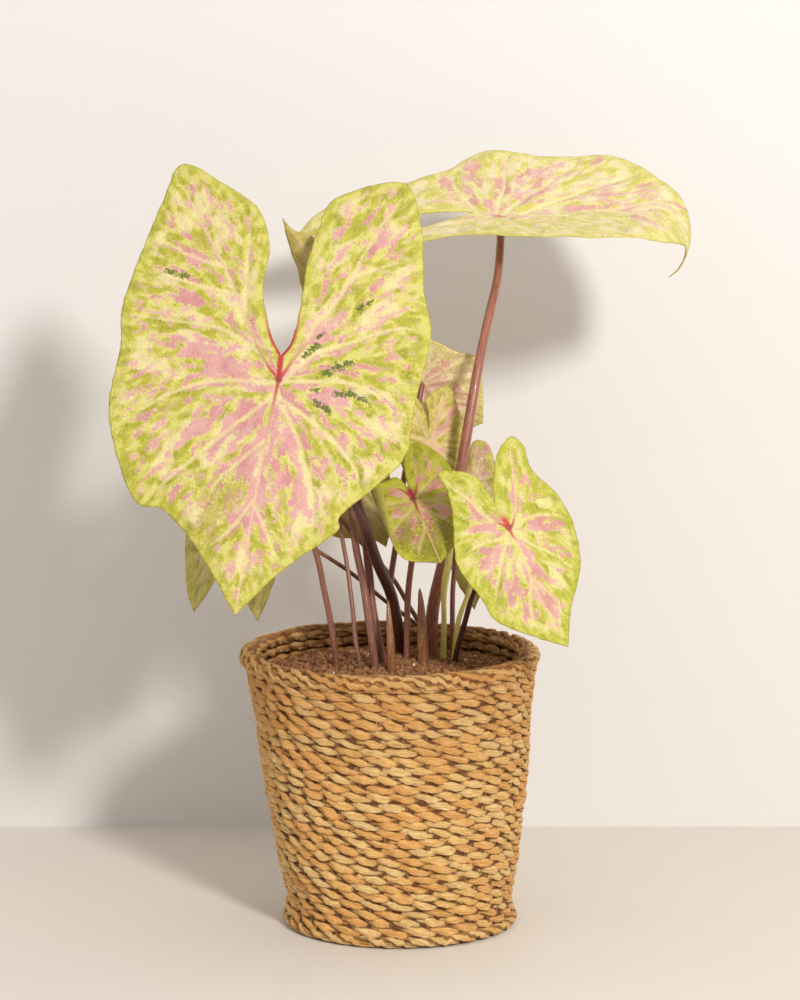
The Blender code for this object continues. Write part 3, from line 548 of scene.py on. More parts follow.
def bladePiece(name, shape, number, materials):
    step = shape["fine"]
    sides = [evenLine(smoothLine(shape[k], 24), step) for k in ("left", "right")]
    loop = np.concatenate([sides[0][:-1], sides[1][::-1][:-1]])
    outward = np.roll(loop, -1, 0) - np.roll(loop, 1, 0)
    outward = np.stack([outward[:, 1], -outward[:, 0]], 1) / np.linalg.norm(outward, axis=1)[:, None]
    nibble = np.array([noise.noise((x / 6, y / 6, number)) + 0.5 * noise.noise((x / 2.4, y / 2.4, number))
                       for x, y in loop])
    nibble *= leafForm["nibble"] * np.clip(np.linalg.norm(loop - sides[0][-1], axis=1) / 12, 0, 1)
    nearHub = np.clip(np.linalg.norm(loop - loop[0], axis=1) / 12, 0, 1)
    loop = loop + outward * nibble[:, None] * nearHub[:, None]
    if np.sum(loop[:, 0] * np.roll(loop[:, 1], -1) - np.roll(loop[:, 0], -1) * loop[:, 1]) < 0:
        loop = loop[::-1]
    packed = 0.866  # between the columns of even triangles, in steps
    rows = np.arange(np.floor(loop[:, 1].min() / step), np.ceil(loop[:, 1].max() / step) + 1)
    cols = np.arange(np.floor(loop[:, 0].min() / step / packed),
                     np.ceil(loop[:, 0].max() / step / packed) + 1)
    grid = np.array([((i * packed) * step, (j + 0.5 * (i % 2)) * step) for i in cols for j in rows])
    grid = grid[insideOf(loop, grid)]
    closed = np.concatenate([loop, loop[:1]])
    grid = grid[gapTo(closed, grid)[0] > step * 0.55]
    points = [Vector(p) for p in np.concatenate([loop, grid])]
    flat, _, faces, *_ = delaunay_2d_cdt(points, [], [list(range(len(loop)))], 1, 1e-5)
    flat = np.array([tuple(p) for p in flat])
    faces = np.array(faces)
    a, b, c = (flat[faces[:, k]] for k in range(3))
    turned = np.cross(b - a, c - a) < 0
    faces[turned] = faces[turned][:, ::-1]
    edge = gapTo(closed, flat)[0]
    ribs, laterals = veinsOf(sides, name)
    rib = np.full(len(flat), 99.0)
    for line in ribs:
        far, at = gapTo(line, flat)
        rib = np.minimum(rib, far / (1.15 - 0.75 * at))
    lateral = np.full(len(flat), 99.0)
    for line in laterals:
        far, at = gapTo(line, flat)
        lateral = np.minimum(lateral, far + 1.2 * at ** 3)
    quarter = max(4, len(sides[0]) // 12)
    sinus = np.concatenate([sides[0][:quarter][::-1], sides[1][:quarter]])
    sinus = np.minimum(gapTo(sinus, flat)[0], gapTo(np.array([sinus[quarter - 1], [0, 0]]), flat)[0])
    bumps = np.array([(noise.noise((x / 7, y / 7, number)), noise.noise((x / 12, y / 12, number + 9.5)))
                      for x, y in flat])
    calm = np.clip(edge / 5, 0, 1)
    flow = flowAlong(ribs + laterals, flat)
    size = min(1.0, 0.55 + 0.45 * np.abs(flat).max() / 100)  # small leaves have smaller patches
    tints = [drawn(flat, flow, number * 5.1 + k * 11.3, patch * size, reach * size)
             for k, (patch, reach) in enumerate(((4.2, 3.4), (3.5, 2.5), (9.0, 5.0)))]
    spots = []
    for kind in ("fleck", "painted_shade", "pink"):
        depth = np.zeros(len(flat))
        for px, py, radius in leafMarks.get(name, {}).get(kind, ()):
            away = flat - (px, py)
            along = (away * flow).sum(1)
            across = away[:, 0] * flow[:, 1] - away[:, 1] * flow[:, 0]
            depth = np.maximum(depth, 1 - np.hypot(along * 0.65, across * 1.25) / radius)
        spots.append(depth)
    lift = (leafForm["puff"] * (1 - np.exp(-(lateral / 4.5) ** 2)) * (1 - np.exp(-(rib / 4.5) ** 2)) * calm
            - leafForm["valley"] * np.exp(-(lateral / 1.5) ** 2) * calm
            + leafForm["lump"] * bumps[:, 0] * calm
            + leafForm["ripple"] * bumps[:, 1] * np.exp(-edge / 6))
    lift *= min(1.0, np.abs(flat).max() / 70)
    top = bent(shape, flat, lift)
    normal = np.zeros_like(top)
    a, b, c = (top[faces[:, k]] for k in range(3))
    weight = np.cross(b - a, c - a)
    for k in range(3):
        np.add.at(normal, faces[:, k], weight)
    normal /= np.linalg.norm(normal, axis=1)[:, None]
    if (weight.sum(0) @ axesOf(shape)[2]) < 0:
        normal = -normal
        faces = faces[:, ::-1]
    thick = leafForm["rimThick"] + (leafForm["thick"] - leafForm["rimThick"]) * np.clip(edge / 2, 0, 1)
    thick = thick + leafForm["ribRise"] * np.exp(-(rib / 1.3) ** 2) + 0.2 * np.exp(-(lateral / 0.9) ** 2)
    bottom = top - normal * thick[:, None]
    count = len(flat)
    pairs = np.concatenate([faces[:, [0, 1]], faces[:, [1, 2]], faces[:, [2, 0]]])
    known = set(map(tuple, pairs.tolist()))
    rim = [(q, p, p + count, q + count) for p, q in known if (q, p) not in known]
    allFaces = faces.tolist() + (faces[:, ::-1] + count).tolist() + rim
    mesh = meshOf(name, np.concatenate([top, bottom]) * mm, allFaces)
    mesh.polygons.foreach_set("material_index", [0] * len(faces) + [1] * len(faces) + [0] * len(rim))
    for key, columns in (("flat", (flat[:, 0], flat[:, 1], np.full(count, number * 31.7))),
                         ("veins", (rib, lateral, edge)), ("base", (sinus, bumps[:, 0], bumps[:, 1])),
                         ("tint", tints), ("spots", spots)):
        values = np.stack(columns, 1)
        attach(mesh, key, np.concatenate([values, values]))
    return piece("leaf_" + name, mesh, materials, ["blade_" + name])


leafTones = dict(lime=(186, 180, 66), deep=(160, 157, 36), dark=(130, 124, 28), light=(206, 198, 110),
                 cream=(228, 210, 160), pink=(198, 130, 136), rose=(176, 98, 106), blush=(220, 172, 166),
                 fleck=(80, 92, 14), margin=(200, 194, 88), core=(112, 50, 48), hub=(180, 30, 48),
                 rib=(180, 106, 84), line=(150, 104, 56), under=(196, 186, 118), painted_shade=(166, 152, 56))


def leafPaint(name, under, pink=0.30, middle=0.35, band=2.4, cream=0.30, specks=0.5, hub=14.0,
              wash=0.45, lace=1.0, glow=6.0, tones=()):
    tone = {k: linear(v) for k, v in dict(leafTones, **dict(tones)).items()}
    paint = Paint(name + ("_under" if under else "_top"), IOR=1.42)
    x, y, seed = paint.field("flat")
    rib, lateral, edge = paint.field("veins")
    sinus = paint.field("base")[0]
    first, second, third = paint.field("tint")  # patches of pink, of green, and wide clouds
    fleck, painted_shade, blush = paint.field("spots")
    even = paint.vector(x, y, seed)
    r = (x * x + y * y).math("SQRT")
    ragged = paint.noise(even, 0.60, 4.0, 0.70) - 0.5
    jagged = paint.noise(even, 1.30, 3.0, 0.65) - 0.5
    soft = paint.noise(even, 0.16, 3.0, 0.6) - 0.5
    # green ground, from pale to deep
    ground = second + ragged * 2.0 + jagged * 1.2
    paint.colour = paint.mix(ground.high(0.32, 0.20), tone["light"], tone["lime"])
    paint.lay(ground.high(0.62, 0.12) * 0.68, tone["deep"])
    paint.lay((ground + third * 0.3).high(1.12, 0.08) * 0.65, tone["dark"])
    paint.lay((edge + soft * 6).low(2.5, 5.0) * 0.45, tone["margin"])
    # cream along the veins and in clouds
    inland = (edge + soft * 8 + ragged * 3).high(5.0, 5.0)
    shore = lateral.math("MINIMUM", rib * 0.8) + ragged * 3.0 + soft * 5.0
    fade = shore.low(band * 0.3, band)
    clouds = (third + ragged * 0.8 + jagged * 0.4).high(1 - cream, 0.14)
    paint.lay((fade * 0.75).math("MAXIMUM", clouds * 0.75) * inland, tone["cream"])
    # pink patches with ragged edges, more of them inside and beside the midrib
    within = (edge + soft * 5).high(5.0, 9.0)
    beside = rib.low(5.0, 9.0) * y.high(4.0, 8.0) * edge.high(22.0, 14.0)
    limit = (1.50 - pink) - within * 0.42 - beside * middle + lateral.low(0.8, 1.6) * 0.16
    limit = limit - r.low(hub, hub) * 0.20
    score = first + ragged * 1.9 + jagged * 1.2 * lace + blush * 0.85 - limit
    halo = (score + 0.09).high(0.0, 0.03) * inland
    paint.lay(halo * 0.6, tone["cream"])
    patch = score.high(0.0, 0.025)
    pale = (jagged * 1.2 + soft + third * 0.5).high(0.22, 0.30)
    pinks = paint.mix(pale, tone["pink"], tone["blush"])
    pinks = paint.mix((score - 0.16).high(0.0, 0.2) * 0.45, pinks, tone["pink"])
    rim = (score.high(0.0, 0.02) - (score - 0.05).high(0.0, 0.05)).clip()
    pinks = paint.mix(rim * 0.45, pinks, tone["rose"])
    paint.lay(patch * 0.94, pinks)
    # small specks of pink, dark green and cream
    dots = paint.noise(even, 0.95, 2.0, 0.5)
    other = paint.noise(paint.vector(y, x, seed + 7), 0.85, 2.0, 0.5)
    room = edge.high(3.5, 3.0) * specks
    paint.lay((dots + third * 0.03).high(0.70, 0.02) * room, tone["rose"])
    paint.lay(other.high(0.73, 0.02) * room * 0.8, tone["dark"])
    paint.lay(other.low(0.285, 0.02) * room, tone["light"])
    # dark flecks, and painted shade in olive
    paint.lay((painted_shade * 0.8 + ragged * 1.8).high(0.40, 0.25) * 0.6, tone["painted_shade"])
    paint.lay((fleck + ragged * 2.4 + jagged * 1.4).high(0.50, 0.06) * 0.92, tone["fleck"])
    # veins
    paint.lay((lateral + ragged * 1.2).low(1.0, 1.5) * 0.62 * inland, tone["cream"])
    paint.lay(lateral.low(0.35, 0.5) * 0.6, tone["light"])
    warm = r.low(hub, hub * 1.6)
    spine = paint.mix(warm, paint.mix(0.35, tone["cream"], tone["pink"]), tone["rib"])
    paint.lay(rib.low(0.80, 0.55) * 0.80, spine)
    heart = r.low(1.7, 1.5).math("MAXIMUM", sinus.low(1.5, 1.3) * r.low(hub * 1.25, hub * 0.7))
    heart = heart.math("MAXIMUM", rib.low(0.7, 0.6) * r.low(glow, glow) * 0.8)
    paint.lay(heart, tone["hub"])
    paint.lay(r.low(1.6, 1.8) * 0.65, tone["core"])
    paint.lay(edge.low(0.25, 0.45) * 0.5, tone["line"])
    net = paint.cells(paint.vector(x + ragged * 2, y + jagged * 2, seed), 0.34)
    paint.lay(net.low(0.03, 0.06) * 0.16, tone["light"])
    if under:
        paint.lay(wash, tone["under"])
    grain = paint.noise(even, 1.6, 3.0, 0.6)
    paint.bump(net.low(0.10, 0.16) * -0.6 + ragged * 1.4 + grain * 0.3 + soft * 2.2, 0.45, 0.0008)
    return paint.set(Base_Color=paint.colour, Roughness=0.42 + 0.3 * ragged, Subsurface_Weight=0.12,
                     Subsurface_Radius=(0.0022, 0.0018, 0.0006), Subsurface_Scale=1.0)


leafLooks = dict(
    front_large=dict(pink=0.31, middle=0.24, cream=0.22, hub=26.0, specks=0.4, glow=8.0),
    top_right=dict(pink=0.18, middle=0.0, band=2.4, cream=0.28, specks=0.3, hub=3.0, lace=1.5, tones=dict(
        lime=(218, 208, 118), deep=(202, 194, 84), dark=(186, 178, 70), light=(232, 220, 146),
        cream=(238, 222, 182), pink=(214, 152, 146), blush=(232, 196, 182), margin=(216, 204, 112),
        core=(190, 120, 104), hub=(206, 140, 118), rib=(206, 150, 124), line=(196, 160, 90))),
    front_right=dict(pink=0.22, middle=0.10, band=2.0, cream=0.24, hub=5.0, specks=0.10, tones=dict(
        lime=(184, 182, 64), deep=(166, 168, 38), dark=(138, 132, 30), light=(206, 196, 108),
        hub=(196, 58, 64), margin=(178, 180, 42), cream=(228, 214, 148), pink=(200, 136, 134),
        painted_shade=(152, 136, 50))),
    centre_cupped=dict(pink=0.24, middle=0.15, band=0.9, cream=0.08, hub=7.0, glow=11.0, tones=dict(
        lime=(174, 172, 44), deep=(150, 150, 30), light=(188, 180, 70), hub=(150, 30, 46),
        pink=(198, 122, 118), cream=(212, 188, 128), painted_shade=(116, 104, 24), margin=(186, 188, 40))),
    back_upper=dict(pink=0.30, middle=0.4, band=2.4, cream=0.30, hub=3.0, wash=0.12, tones=dict(
        lime=(228, 216, 138), deep=(208, 200, 110), dark=(184, 176, 88), light=(244, 226, 176),
        cream=(246, 226, 186), margin=(206, 196, 104), pink=(232, 168, 158), under=(238, 214, 160),
        hub=(224, 178, 150), rib=(222, 172, 142), core=(190, 110, 96))),
    middle_upper=dict(pink=0.22, middle=0.10, band=1.6, cream=0.2, hub=2.0, tones=dict(
        lime=(188, 172, 76), deep=(162, 148, 54), dark=(140, 128, 44), light=(208, 188, 108),
        cream=(226, 204, 142), pink=(206, 142, 130), hub=(222, 180, 140), rib=(222, 180, 140),
        core=(214, 168, 128))),
    back_centre=dict(pink=0.22, band=1.6, cream=0.16, tones=dict(
        lime=(170, 160, 60), deep=(146, 140, 42), light=(194, 180, 98), under=(168, 154, 82))),
    left_low=dict(pink=0.24, band=1.5, cream=0.16, tones=dict(
        lime=(194, 184, 80), deep=(166, 160, 52))),
    left_back=dict(pink=0.22, band=1.5, cream=0.16, tones=dict(
        lime=(176, 164, 76), deep=(152, 144, 56), under=(174, 158, 92))),
    right_back=dict(pink=0.32, band=1.8, wash=0.15, tones=dict(
        lime=(188, 176, 92), deep=(164, 152, 66), cream=(232, 210, 172), under=(200, 180, 132))),
    back_high=dict(pink=0.26, band=1.6, tones=dict(
        lime=(190, 174, 84), deep=(166, 152, 60), light=(212, 194, 126), under=(178, 156, 90))),
    left_high=dict(),
    back_low=dict())

fineness = dict(front_large=1.15, top_right=1.2, front_right=1.0, centre_cupped=0.9)
for number, (name, shape) in enumerate(leafShapes.items()):
    shape["fine"] = fineness.get(name, 1.2)
    look = leafLooks[name]
    bladePiece(name, shape, number, [leafPaint(name, under, **look) for under in (False, True)])
print("leaves built")

# Stalks, sheaths and the rolled leaf: fine tubes on the same lines as their solids
stalkForm = dict(foot=122, soilTop=144, straight=9.0, gap=0.35, step=2.2, sides=20, flutes=5)
stalkTones = dict(  # the base, a deep and a light tone
    stalk=((150, 94, 72), (102, 60, 46), (200, 154, 126)),
    dark=((92, 50, 42), (58, 32, 26), (138, 92, 74)),
    salmon=((170, 106, 86), (128, 76, 62), (208, 152, 124)),
    green=((252, 240, 140), (212, 206, 92), (254, 244, 190)),
    sheath=((162, 108, 68), (110, 68, 40), (208, 162, 112)))


def tube(line, radii, sides, flute=0.0):  # a closed tube on a line, with the marks that its paint reads
    line = np.asarray(line, float)
    along = np.gradient(line, axis=0)
    along /= np.linalg.norm(along, axis=1)[:, None]
    across = np.cross(along[0], (0.31, 0.52, 0.79))
    turns = np.linspace(0, math.tau, sides, endpoint=False)
    points, marks = [], []
    length = np.concatenate([[0], np.cumsum(np.linalg.norm(np.diff(line, axis=0), axis=1))])
    for i, (p, d) in enumerate(zip(line, along)):
        across = across - d * (across @ d)
        across /= np.linalg.norm(across)
        up = np.cross(d, across)
        r = radii[i] * (1 + flute * np.cos(turns * stalkForm["flutes"]) * (1 - i / len(line)))
        points.append(p + np.outer(np.cos(turns) * r, across) + np.outer(np.sin(turns) * r, up))
        marks.append(np.stack([np.cos(turns), np.sin(turns), np.full(sides, length[i])], 1))
    n = len(line)
    faces = [(i + k, i + (k + 1) % sides, i + sides + (k + 1) % sides, i + sides + k)
             for i in range(0, (n - 1) * sides, sides) for k in range(sides)]
    faces.append(tuple(range(sides))[::-1])
    faces.append(tuple((n - 1) * sides + k for k in range(sides)))
    return np.concatenate(points), faces, np.concatenate(marks)


def stalkPaint(name):
    base, deep, light = (linear(c) for c in stalkTones[name])
    paint = Paint("stalk_" + name)
    c, s, v = paint.field("grain")
    wide = paint.noise(paint.vector(c * 2.2, s * 2.2, v * 0.05), 1.6, 3.0, 0.6)
    streak = paint.noise(paint.vector(c * 5, s * 5, v * 0.16), 1.5, 4.0, 0.65)
    speck = paint.noise(paint.vector(c * 3, s * 3, v * 0.55), 1.7, 3.0, 0.6)
    paint.colour = paint.mix(wide.high(0.5, 0.3), base, deep)
    paint.lay(streak.high(0.60, 0.10) * 0.55, light)
    paint.lay(speck.high(0.66, 0.05) * 0.5, light)
    paint.lay(v.low(26, 16) * 0.45, deep)
    paint.bump(streak + speck * 0.4, 0.35, 0.0003)
    return paint.set(Base_Color=paint.colour, Roughness=0.26 + 0.2 * streak, Coat_Weight=0.15)


stalkPaints = {name: stalkPaint(name) for name in stalkTones}


def stalkPiece(name, node, line, radii, tone, flute=0.05):
    points, faces, marks = tube(line, radii, stalkForm["sides"], flute)
    mesh = meshOf(name, points * mm, faces)
    attach(mesh, "grain", marks)
    return piece(name, mesh, [stalkPaints[tone]], [node])


for name, shape in leafShapes.items():
    face = axesOf(shape)[2]
    end = bent(shape, np.zeros((1, 2)))[0] - face * (0.7 + stalkForm["gap"] + 0.10 * shape["neck"])
    x, y = shape["base"]
    points = [(x, y, stalkForm["foot"]), (x, y, stalkForm["soilTop"]), *shape["route"],
              end - face * stalkForm["straight"], end]
    line = evenLine(smoothLine(points, 12), stalkForm["step"])
    t = np.linspace(0, 1, len(line))
    radii = shape["foot"] + (shape["neck"] - shape["foot"]) * t ** 0.7
    radii = radii * (1 + 0.12 * np.exp(-((1 - t) * len(line) * stalkForm["step"] / 5.0) ** 2))
    tone = {"front_right": "dark"}.get(name, shape["tone"])
    stalkPiece("stalk_" + name, "petiole_" + name, line, radii, tone)

for name, shape in sheathShapes.items():
    x, y = shape["base"]
    line = evenLine(smoothLine([(x, y, stalkForm["foot"]), (x, y, stalkForm["soilTop"]), *shape["route"],
                                shape["tip"]], 8), 1.2)
    t = np.linspace(0, 1, len(line))
    radii = shape["foot"] * np.maximum(0.08, np.sqrt(np.maximum(0, 1 - t ** 2.4)))
    stalkPiece("dry_" + name, name, line, radii, "sheath", 0.16)

x, y = rolledShape["base"]
line = evenLine(smoothLine([(x, y, stalkForm["foot"]), (x, y, stalkForm["soilTop"]), *rolledShape["route"],
                            rolledShape["tip"]], 8), 1.2)
t = np.linspace(0, 1, len(line))
narrow = rolledShape["foot"] + (rolledShape["waist"] - rolledShape["foot"]) * np.minimum(1, t / 0.5)
swell = np.sin(math.pi * np.clip((t - 0.45) / 0.55, 0, 1))
radii = np.maximum(0.25, narrow * np.where(t < 0.6, 1, 1 - (t - 0.6) / 0.4)
                   + (rolledShape["belly"] - rolledShape["waist"]) * swell)
stalkPiece("rolled_leaf", "young_rolled_leaf", line, radii, "green", 0.10)
print("stalks built")

# Basket: rows of two-strand twist on upright stakes, a rolled border round the rim
basketForm = dict(height=150.0, lean=-6.0, rim=77.1, rows=29, pitch=5.0, first=3.4, inset=2.9, segment=13.2,
                  stakes=38, profile=((3, 64.3), (14, 62.0), (25, 64.2), (37, 66.8), (50, 68.4), (63, 69.8),
                                      (75, 71.8), (95, 74.1), (114, 75.8), (133, 79.0), (142, 80.2)))


def wallAt(z):
    heights, radii = zip(*basketForm["profile"])
    return np.interp(z, heights, radii)


def leanAt(z):
    return basketForm["lean"] * (z / basketForm["height"]) ** 1.3


def swayAt(angle, z):
    share = z / basketForm["height"]
    return (0.6 * np.sin(3 * angle + 1.1) + 0.5 * np.sin(2 * angle - 9 * share)) * share


def ringNoise(angle, fine, seed):  # a random line that closes on itself
    return np.array([noise.noise((fine * math.cos(a), fine * math.sin(a), seed)) for a in angle])


# edge and dark set where the painted shade along a strand's edges begins and how fast it darkens
strandForm = dict(slack=0.75, swell=0.30, vary=0.34, slant=0.6, peak=0.97, half=1.325, aside=0.25,
                  lift=0.35, cup=0.30, wave=0.3, level=0.35, edge=0.6, dark=5.5)


# Strands that turn round one another along a ring
def twine(radius, z, turns, strands, out, up, wide, thin, seed, pinch=0.4, roll=0.0, samples=12, sides=10,
          sway=1.0, wander=0.5, slip=0.0, rough=1.0, tilt=0.0):
    form = strandForm
    count = round(turns * samples)
    angle = np.linspace(0, math.tau, count, endpoint=False) + math.pi / 2
    drift, level, depth = (ringNoise(angle, 3.0, seed + k) for k in (0.3, 7.9, 15.1))
    around = np.linspace(0, math.tau, sides, endpoint=False)
    points, faces, marks = [], [], []
    for k in range(strands):
        jitter = ringNoise(angle, 26.0, seed * 3.1 + k * 5.3)
        phase = turns * (angle - 1.5 * math.pi) + math.tau * k / strands
        phase = phase + wander * drift + form["slack"] * jitter + slip
        one = np.floor((phase + math.pi) / math.tau)  # the turn that each sample belongs to
        tone, size, shift = (np.array([noise.noise((q * 1.7 + 0.3, seed * 2.3 + k, part)) for q in one])
                             for part in (0.5, 4.5, 8.5))
        fat = 1 + form["swell"] * ringNoise(angle, 17.0, seed * 1.7 + k * 9.1)
        fat = fat + form["vary"] * (1 - roll) * size
        bend = np.arcsin(form["peak"] * np.sin(phase))
        steady = (1 - roll) * (1 + form["slant"] * shift) * bend / form["half"]
        swing = roll * np.sin(phase) + steady
        centre = np.stack([out * np.cos(phase) + form["aside"] * jitter,
                           -up * swing + (form["lift"] * jitter + form["lift"] * size) * (1 - roll)])
        half = wide * fat * (1 - pinch + pinch * np.maximum(0, np.cos(phase)) ** 0.7)
        deep = thin * (1 - 0.3 * pinch * np.sin(phase) ** 2) * (1 + 0.2 * jitter)
        turn = roll * phase - (1 - roll) * form["cup"] * np.sin(phase * 2)
        a, b = np.outer(deep, np.cos(around)), np.outer(half, np.sin(around))
        outs = centre[0][:, None] + a * np.cos(turn)[:, None] + b * np.sin(turn)[:, None]
        ups = centre[1][:, None] - a * np.sin(turn)[:, None] + b * np.cos(turn)[:, None]
        rad = radius + outs + form["wave"] * rough * depth[:, None] + sway * swayAt(angle, z)[:, None]
        high = z + tilt * np.sin(angle)[:, None] + ups + form["level"] * rough * level[:, None]
        points.append(np.stack([leanAt(z) + rad * np.cos(angle)[:, None], rad * np.sin(angle)[:, None],
                                high], 2).reshape(-1, 3))
        i, j = np.meshgrid(np.arange(count), np.arange(sides), indexing="ij")
        nextI, nextJ = (i + 1) % count, (j + 1) % sides
        quads = np.stack([i * sides + j, nextI * sides + j, nextI * sides + nextJ, i * sides + nextJ], 2)
        faces.append(quads.reshape(-1, 4) + k * count * sides)
        # painted shade: darker towards the strand's edges and where it turns behind the other strand
        edge = 1 - form["dark"] * np.maximum(0, np.abs(np.sin(around)) - form["edge"])
        dipShade = np.minimum(np.cos(phase)[:, None], edge[None, :]).clip(-1, 1)
        u = np.repeat(np.sin(around)[None], count, 0) * 2.0 + 9 * seed + 4 * k + 1.3 * one[:, None]
        v = np.repeat((angle * radius)[:, None], sides, 1)
        both = np.floor(tone * 50)[:, None] + 0.02 + 0.48 * (dipShade + 1)  # tone and painted shade in one
        marks.append(np.stack([u, v, both], 2).reshape(-1, 3))
    return np.concatenate(points), np.concatenate(faces), np.concatenate(marks)


def weave(name, rings, material, replaced=()):  # one piece of several rings
    points, faces, marks, first = [], [], [], 0
    for ring in rings:
        p, f, m = twine(**ring)
        points.append(p)
        faces.append(f + first)
        marks.append(m)
        first += len(p)
    mesh = meshOf(name, np.concatenate(points) * mm, np.concatenate(faces))
    attach(mesh, "fibre", np.concatenate(marks))
    return piece(name, mesh, [material], replaced)


def grassPaint():
    paint = Paint("seagrass", Specular_IOR_Level=0.3)
    u, v, both = paint.field("fibre")
    whole = both.math("FLOOR")
    tone, dipShade = whole / 50 + 0.5, (both - whole) * 2
    line = paint.vector(u * 3.0, v * 0.14, whole * 0.37)
    streak = paint.noise(line, 1.0, 4.0, 0.65)
    # painted shade: the weave darkens towards the rim, standing in for the shadow of the leaves above
    height = paint.node("ShaderNodeSeparateXYZ", Vector=paint.place()).outputs["Z"]
    upper = Num(paint.tree, height).high(0.112, 0.070)
    fine = paint.noise(paint.vector(u * 9, v * 0.30, whole * 0.11), 1.0, 3.0, 0.6)
    patch = paint.noise(paint.vector(u * 0.3, v * 0.055, whole * 0.05), 1.0, 2.0, 0.5)
    paint.colour = paint.mix(tone.high(0.42, 0.30), linear((250, 184, 102)), linear((255, 206, 126)))
    paint.lay(patch.high(0.50, 0.20) * 0.20, linear((240, 180, 100)))
    paint.lay(tone.low(0.34, 0.24) * 0.25, linear((226, 168, 96)))
    paint.lay(tone.high(0.66, 0.20) * 0.45, linear((255, 220, 156)))
    paint.lay(streak.high(0.57, 0.12) * 0.55, linear((186, 118, 52)))
    paint.lay(fine.high(0.60, 0.08) * 0.48, linear((128, 76, 32)))
    paint.lay(streak.low(0.42, 0.10) * 0.50, linear((255, 234, 182)))
    # painted shade in the hollows of the weave, where strands dip behind one another and along their edges
    paint.lay(dipShade.low(0.70, 0.6) * 0.74, linear((100, 54, 20)))
    # painted shade of the leaves, darker towards the rim
    paint.lay(upper * 0.30, linear((168, 104, 48)))
    paint.bump(streak * 1.2 + fine * 0.9, 0.9, 0.0008)
    return paint.set(Base_Color=paint.colour, Roughness=0.60 + 0.2 * fine)


grass = grassPaint()
rings = []
for row in range(basketForm["rows"]):
    z = basketForm["first"] + basketForm["pitch"] * row
    radius = float(wallAt(z)) - basketForm["inset"]
    turns = round(math.pi * radius / basketForm["segment"])
    rings.append(dict(radius=radius, z=z, turns=turns, strands=2, out=1.35, up=1.55, wide=2.62, thin=1.25,
                      seed=row * 1.37 + 0.5, pinch=0.44, slip=0.10 * row + 0.9 * math.sin(row * 2.4),
                      rough=1.9))
foot = dict(radius=61.2, z=3.5, turns=11, strands=3, out=1.7, up=1.6, wide=2.0, thin=1.45, seed=31.0,
            sway=0.0, roll=1.0, pinch=0.35, samples=22)
weave("weave_lower", [foot] + rings[1:14], grass, ["basket"])
weave("weave_upper", rings[14:], grass)
weave("weave_base", [dict(radius=float(r), z=3.2, turns=max(1, round(math.pi * r / 11)), strands=2, out=1.5,
                          up=1.0, wide=1.7, thin=1.6, sides=8, seed=40.0 + float(r), sway=0.0, pinch=0.3,
                          samples=12 if r > 10 else 30) for r in np.arange(3.0, 58.0, 5.4)], grass)
weave("rim_border", [dict(radius=basketForm["rim"], z=147.3, turns=7, strands=5, out=3.3, up=3.0, wide=1.95,
                          thin=1.85, seed=55.0, roll=1.0, pinch=0.20, sides=12, samples=44, wander=0.9,
                          rough=3.0, tilt=1.6),
                     dict(radius=basketForm["rim"], z=147.1, turns=6, strands=1, out=0.1, up=0.1, wide=2.5,
                          thin=2.5, seed=56.0, sides=8, samples=28, rough=2.6, tilt=1.5)], grass)
weave("inner_rows", [dict(radius=71.6 + 0.25 * k, z=138.4 + 4.7 * k, turns=18, strands=2, out=1.2, up=1.1,
                          wide=2.2, thin=1.1, seed=70.3 + k * 1.9, pinch=0.55, slip=0.3 * k, tilt=0.4 * k)
                     for k in range(3)], grass)


def stakes():  # the upright rods that the rows are woven round, painted in full shade, on a thin dark sheet of painted shade
    points, faces, marks, first = [], [], [], 0
    heights = np.linspace(3, 143, 50)
    for k in range(basketForm["stakes"]):
        angle = math.tau * (k + 0.5) / basketForm["stakes"] - math.pi / 2
        turned = angle + 0.02 * np.array([noise.noise((k * 3.1, z * 0.05, 2.0)) for z in heights])
        radius = wallAt(heights) - basketForm["inset"] + swayAt(turned, heights)
        line = np.stack([leanAt(heights) + radius * np.cos(turned), radius * np.sin(turned), heights], 1)
        p, f, m = tube(line, np.full(len(line), 1.0), 6)
        points.append(p)
        faces += [tuple(first + i for i in face) for face in f]
        # the stakes take the full painted shade of the weave's hollows
        marks.append(np.stack([m[:, 0] * 2 + 5 * k, m[:, 2], np.full(len(p), 3.1)], 1))
        first += len(p)
    mesh = meshOf("stakes", np.concatenate(points) * mm, faces)
    attach(mesh, "fibre", np.concatenate(marks))
    piece("basket_stakes", mesh, [grass], ())


def gap_shade():  # a thin dark sheet behind the strands, painted shade seen through the gaps between them
    count, levels = 96, np.linspace(2.4, 144, 30)
    angle = np.linspace(0, math.tau, count, endpoint=False)
    points = []
    for side in (0.3, -0.3):
        for z in levels if side > 0 else levels[::-1]:
            radius = wallAt(z) - basketForm["inset"] + side + swayAt(angle, z)
            points.append(np.stack([leanAt(z) + radius * np.cos(angle), radius * np.sin(angle),
                                    np.full(count, z)], 1))
    rows = len(points)
    faces = [(i * count + k, i * count + (k + 1) % count, (i + 1) % rows * count + (k + 1) % count,
              (i + 1) % rows * count + k) for i in range(rows) for k in range(count)]
    mesh = meshOf("gap_shade", np.concatenate(points) * mm, faces)
    paint = Paint("gap_shade")
    spots = paint.noise(paint.scaled(paint.place(), (900.0, 900.0, 60.0)), 1.0, 3.0, 0.6)
    # painted shade: dark browns for the gaps in the weave
    colour = paint.mix(spots, linear((70, 40, 18)), linear((128, 82, 42)))
    paint.bump(spots, 0.5, 0.0006)
    piece("basket_gap_shade", mesh, [paint.set(Base_Color=colour, Roughness=0.9)], ())


stakes()
gap_shade()


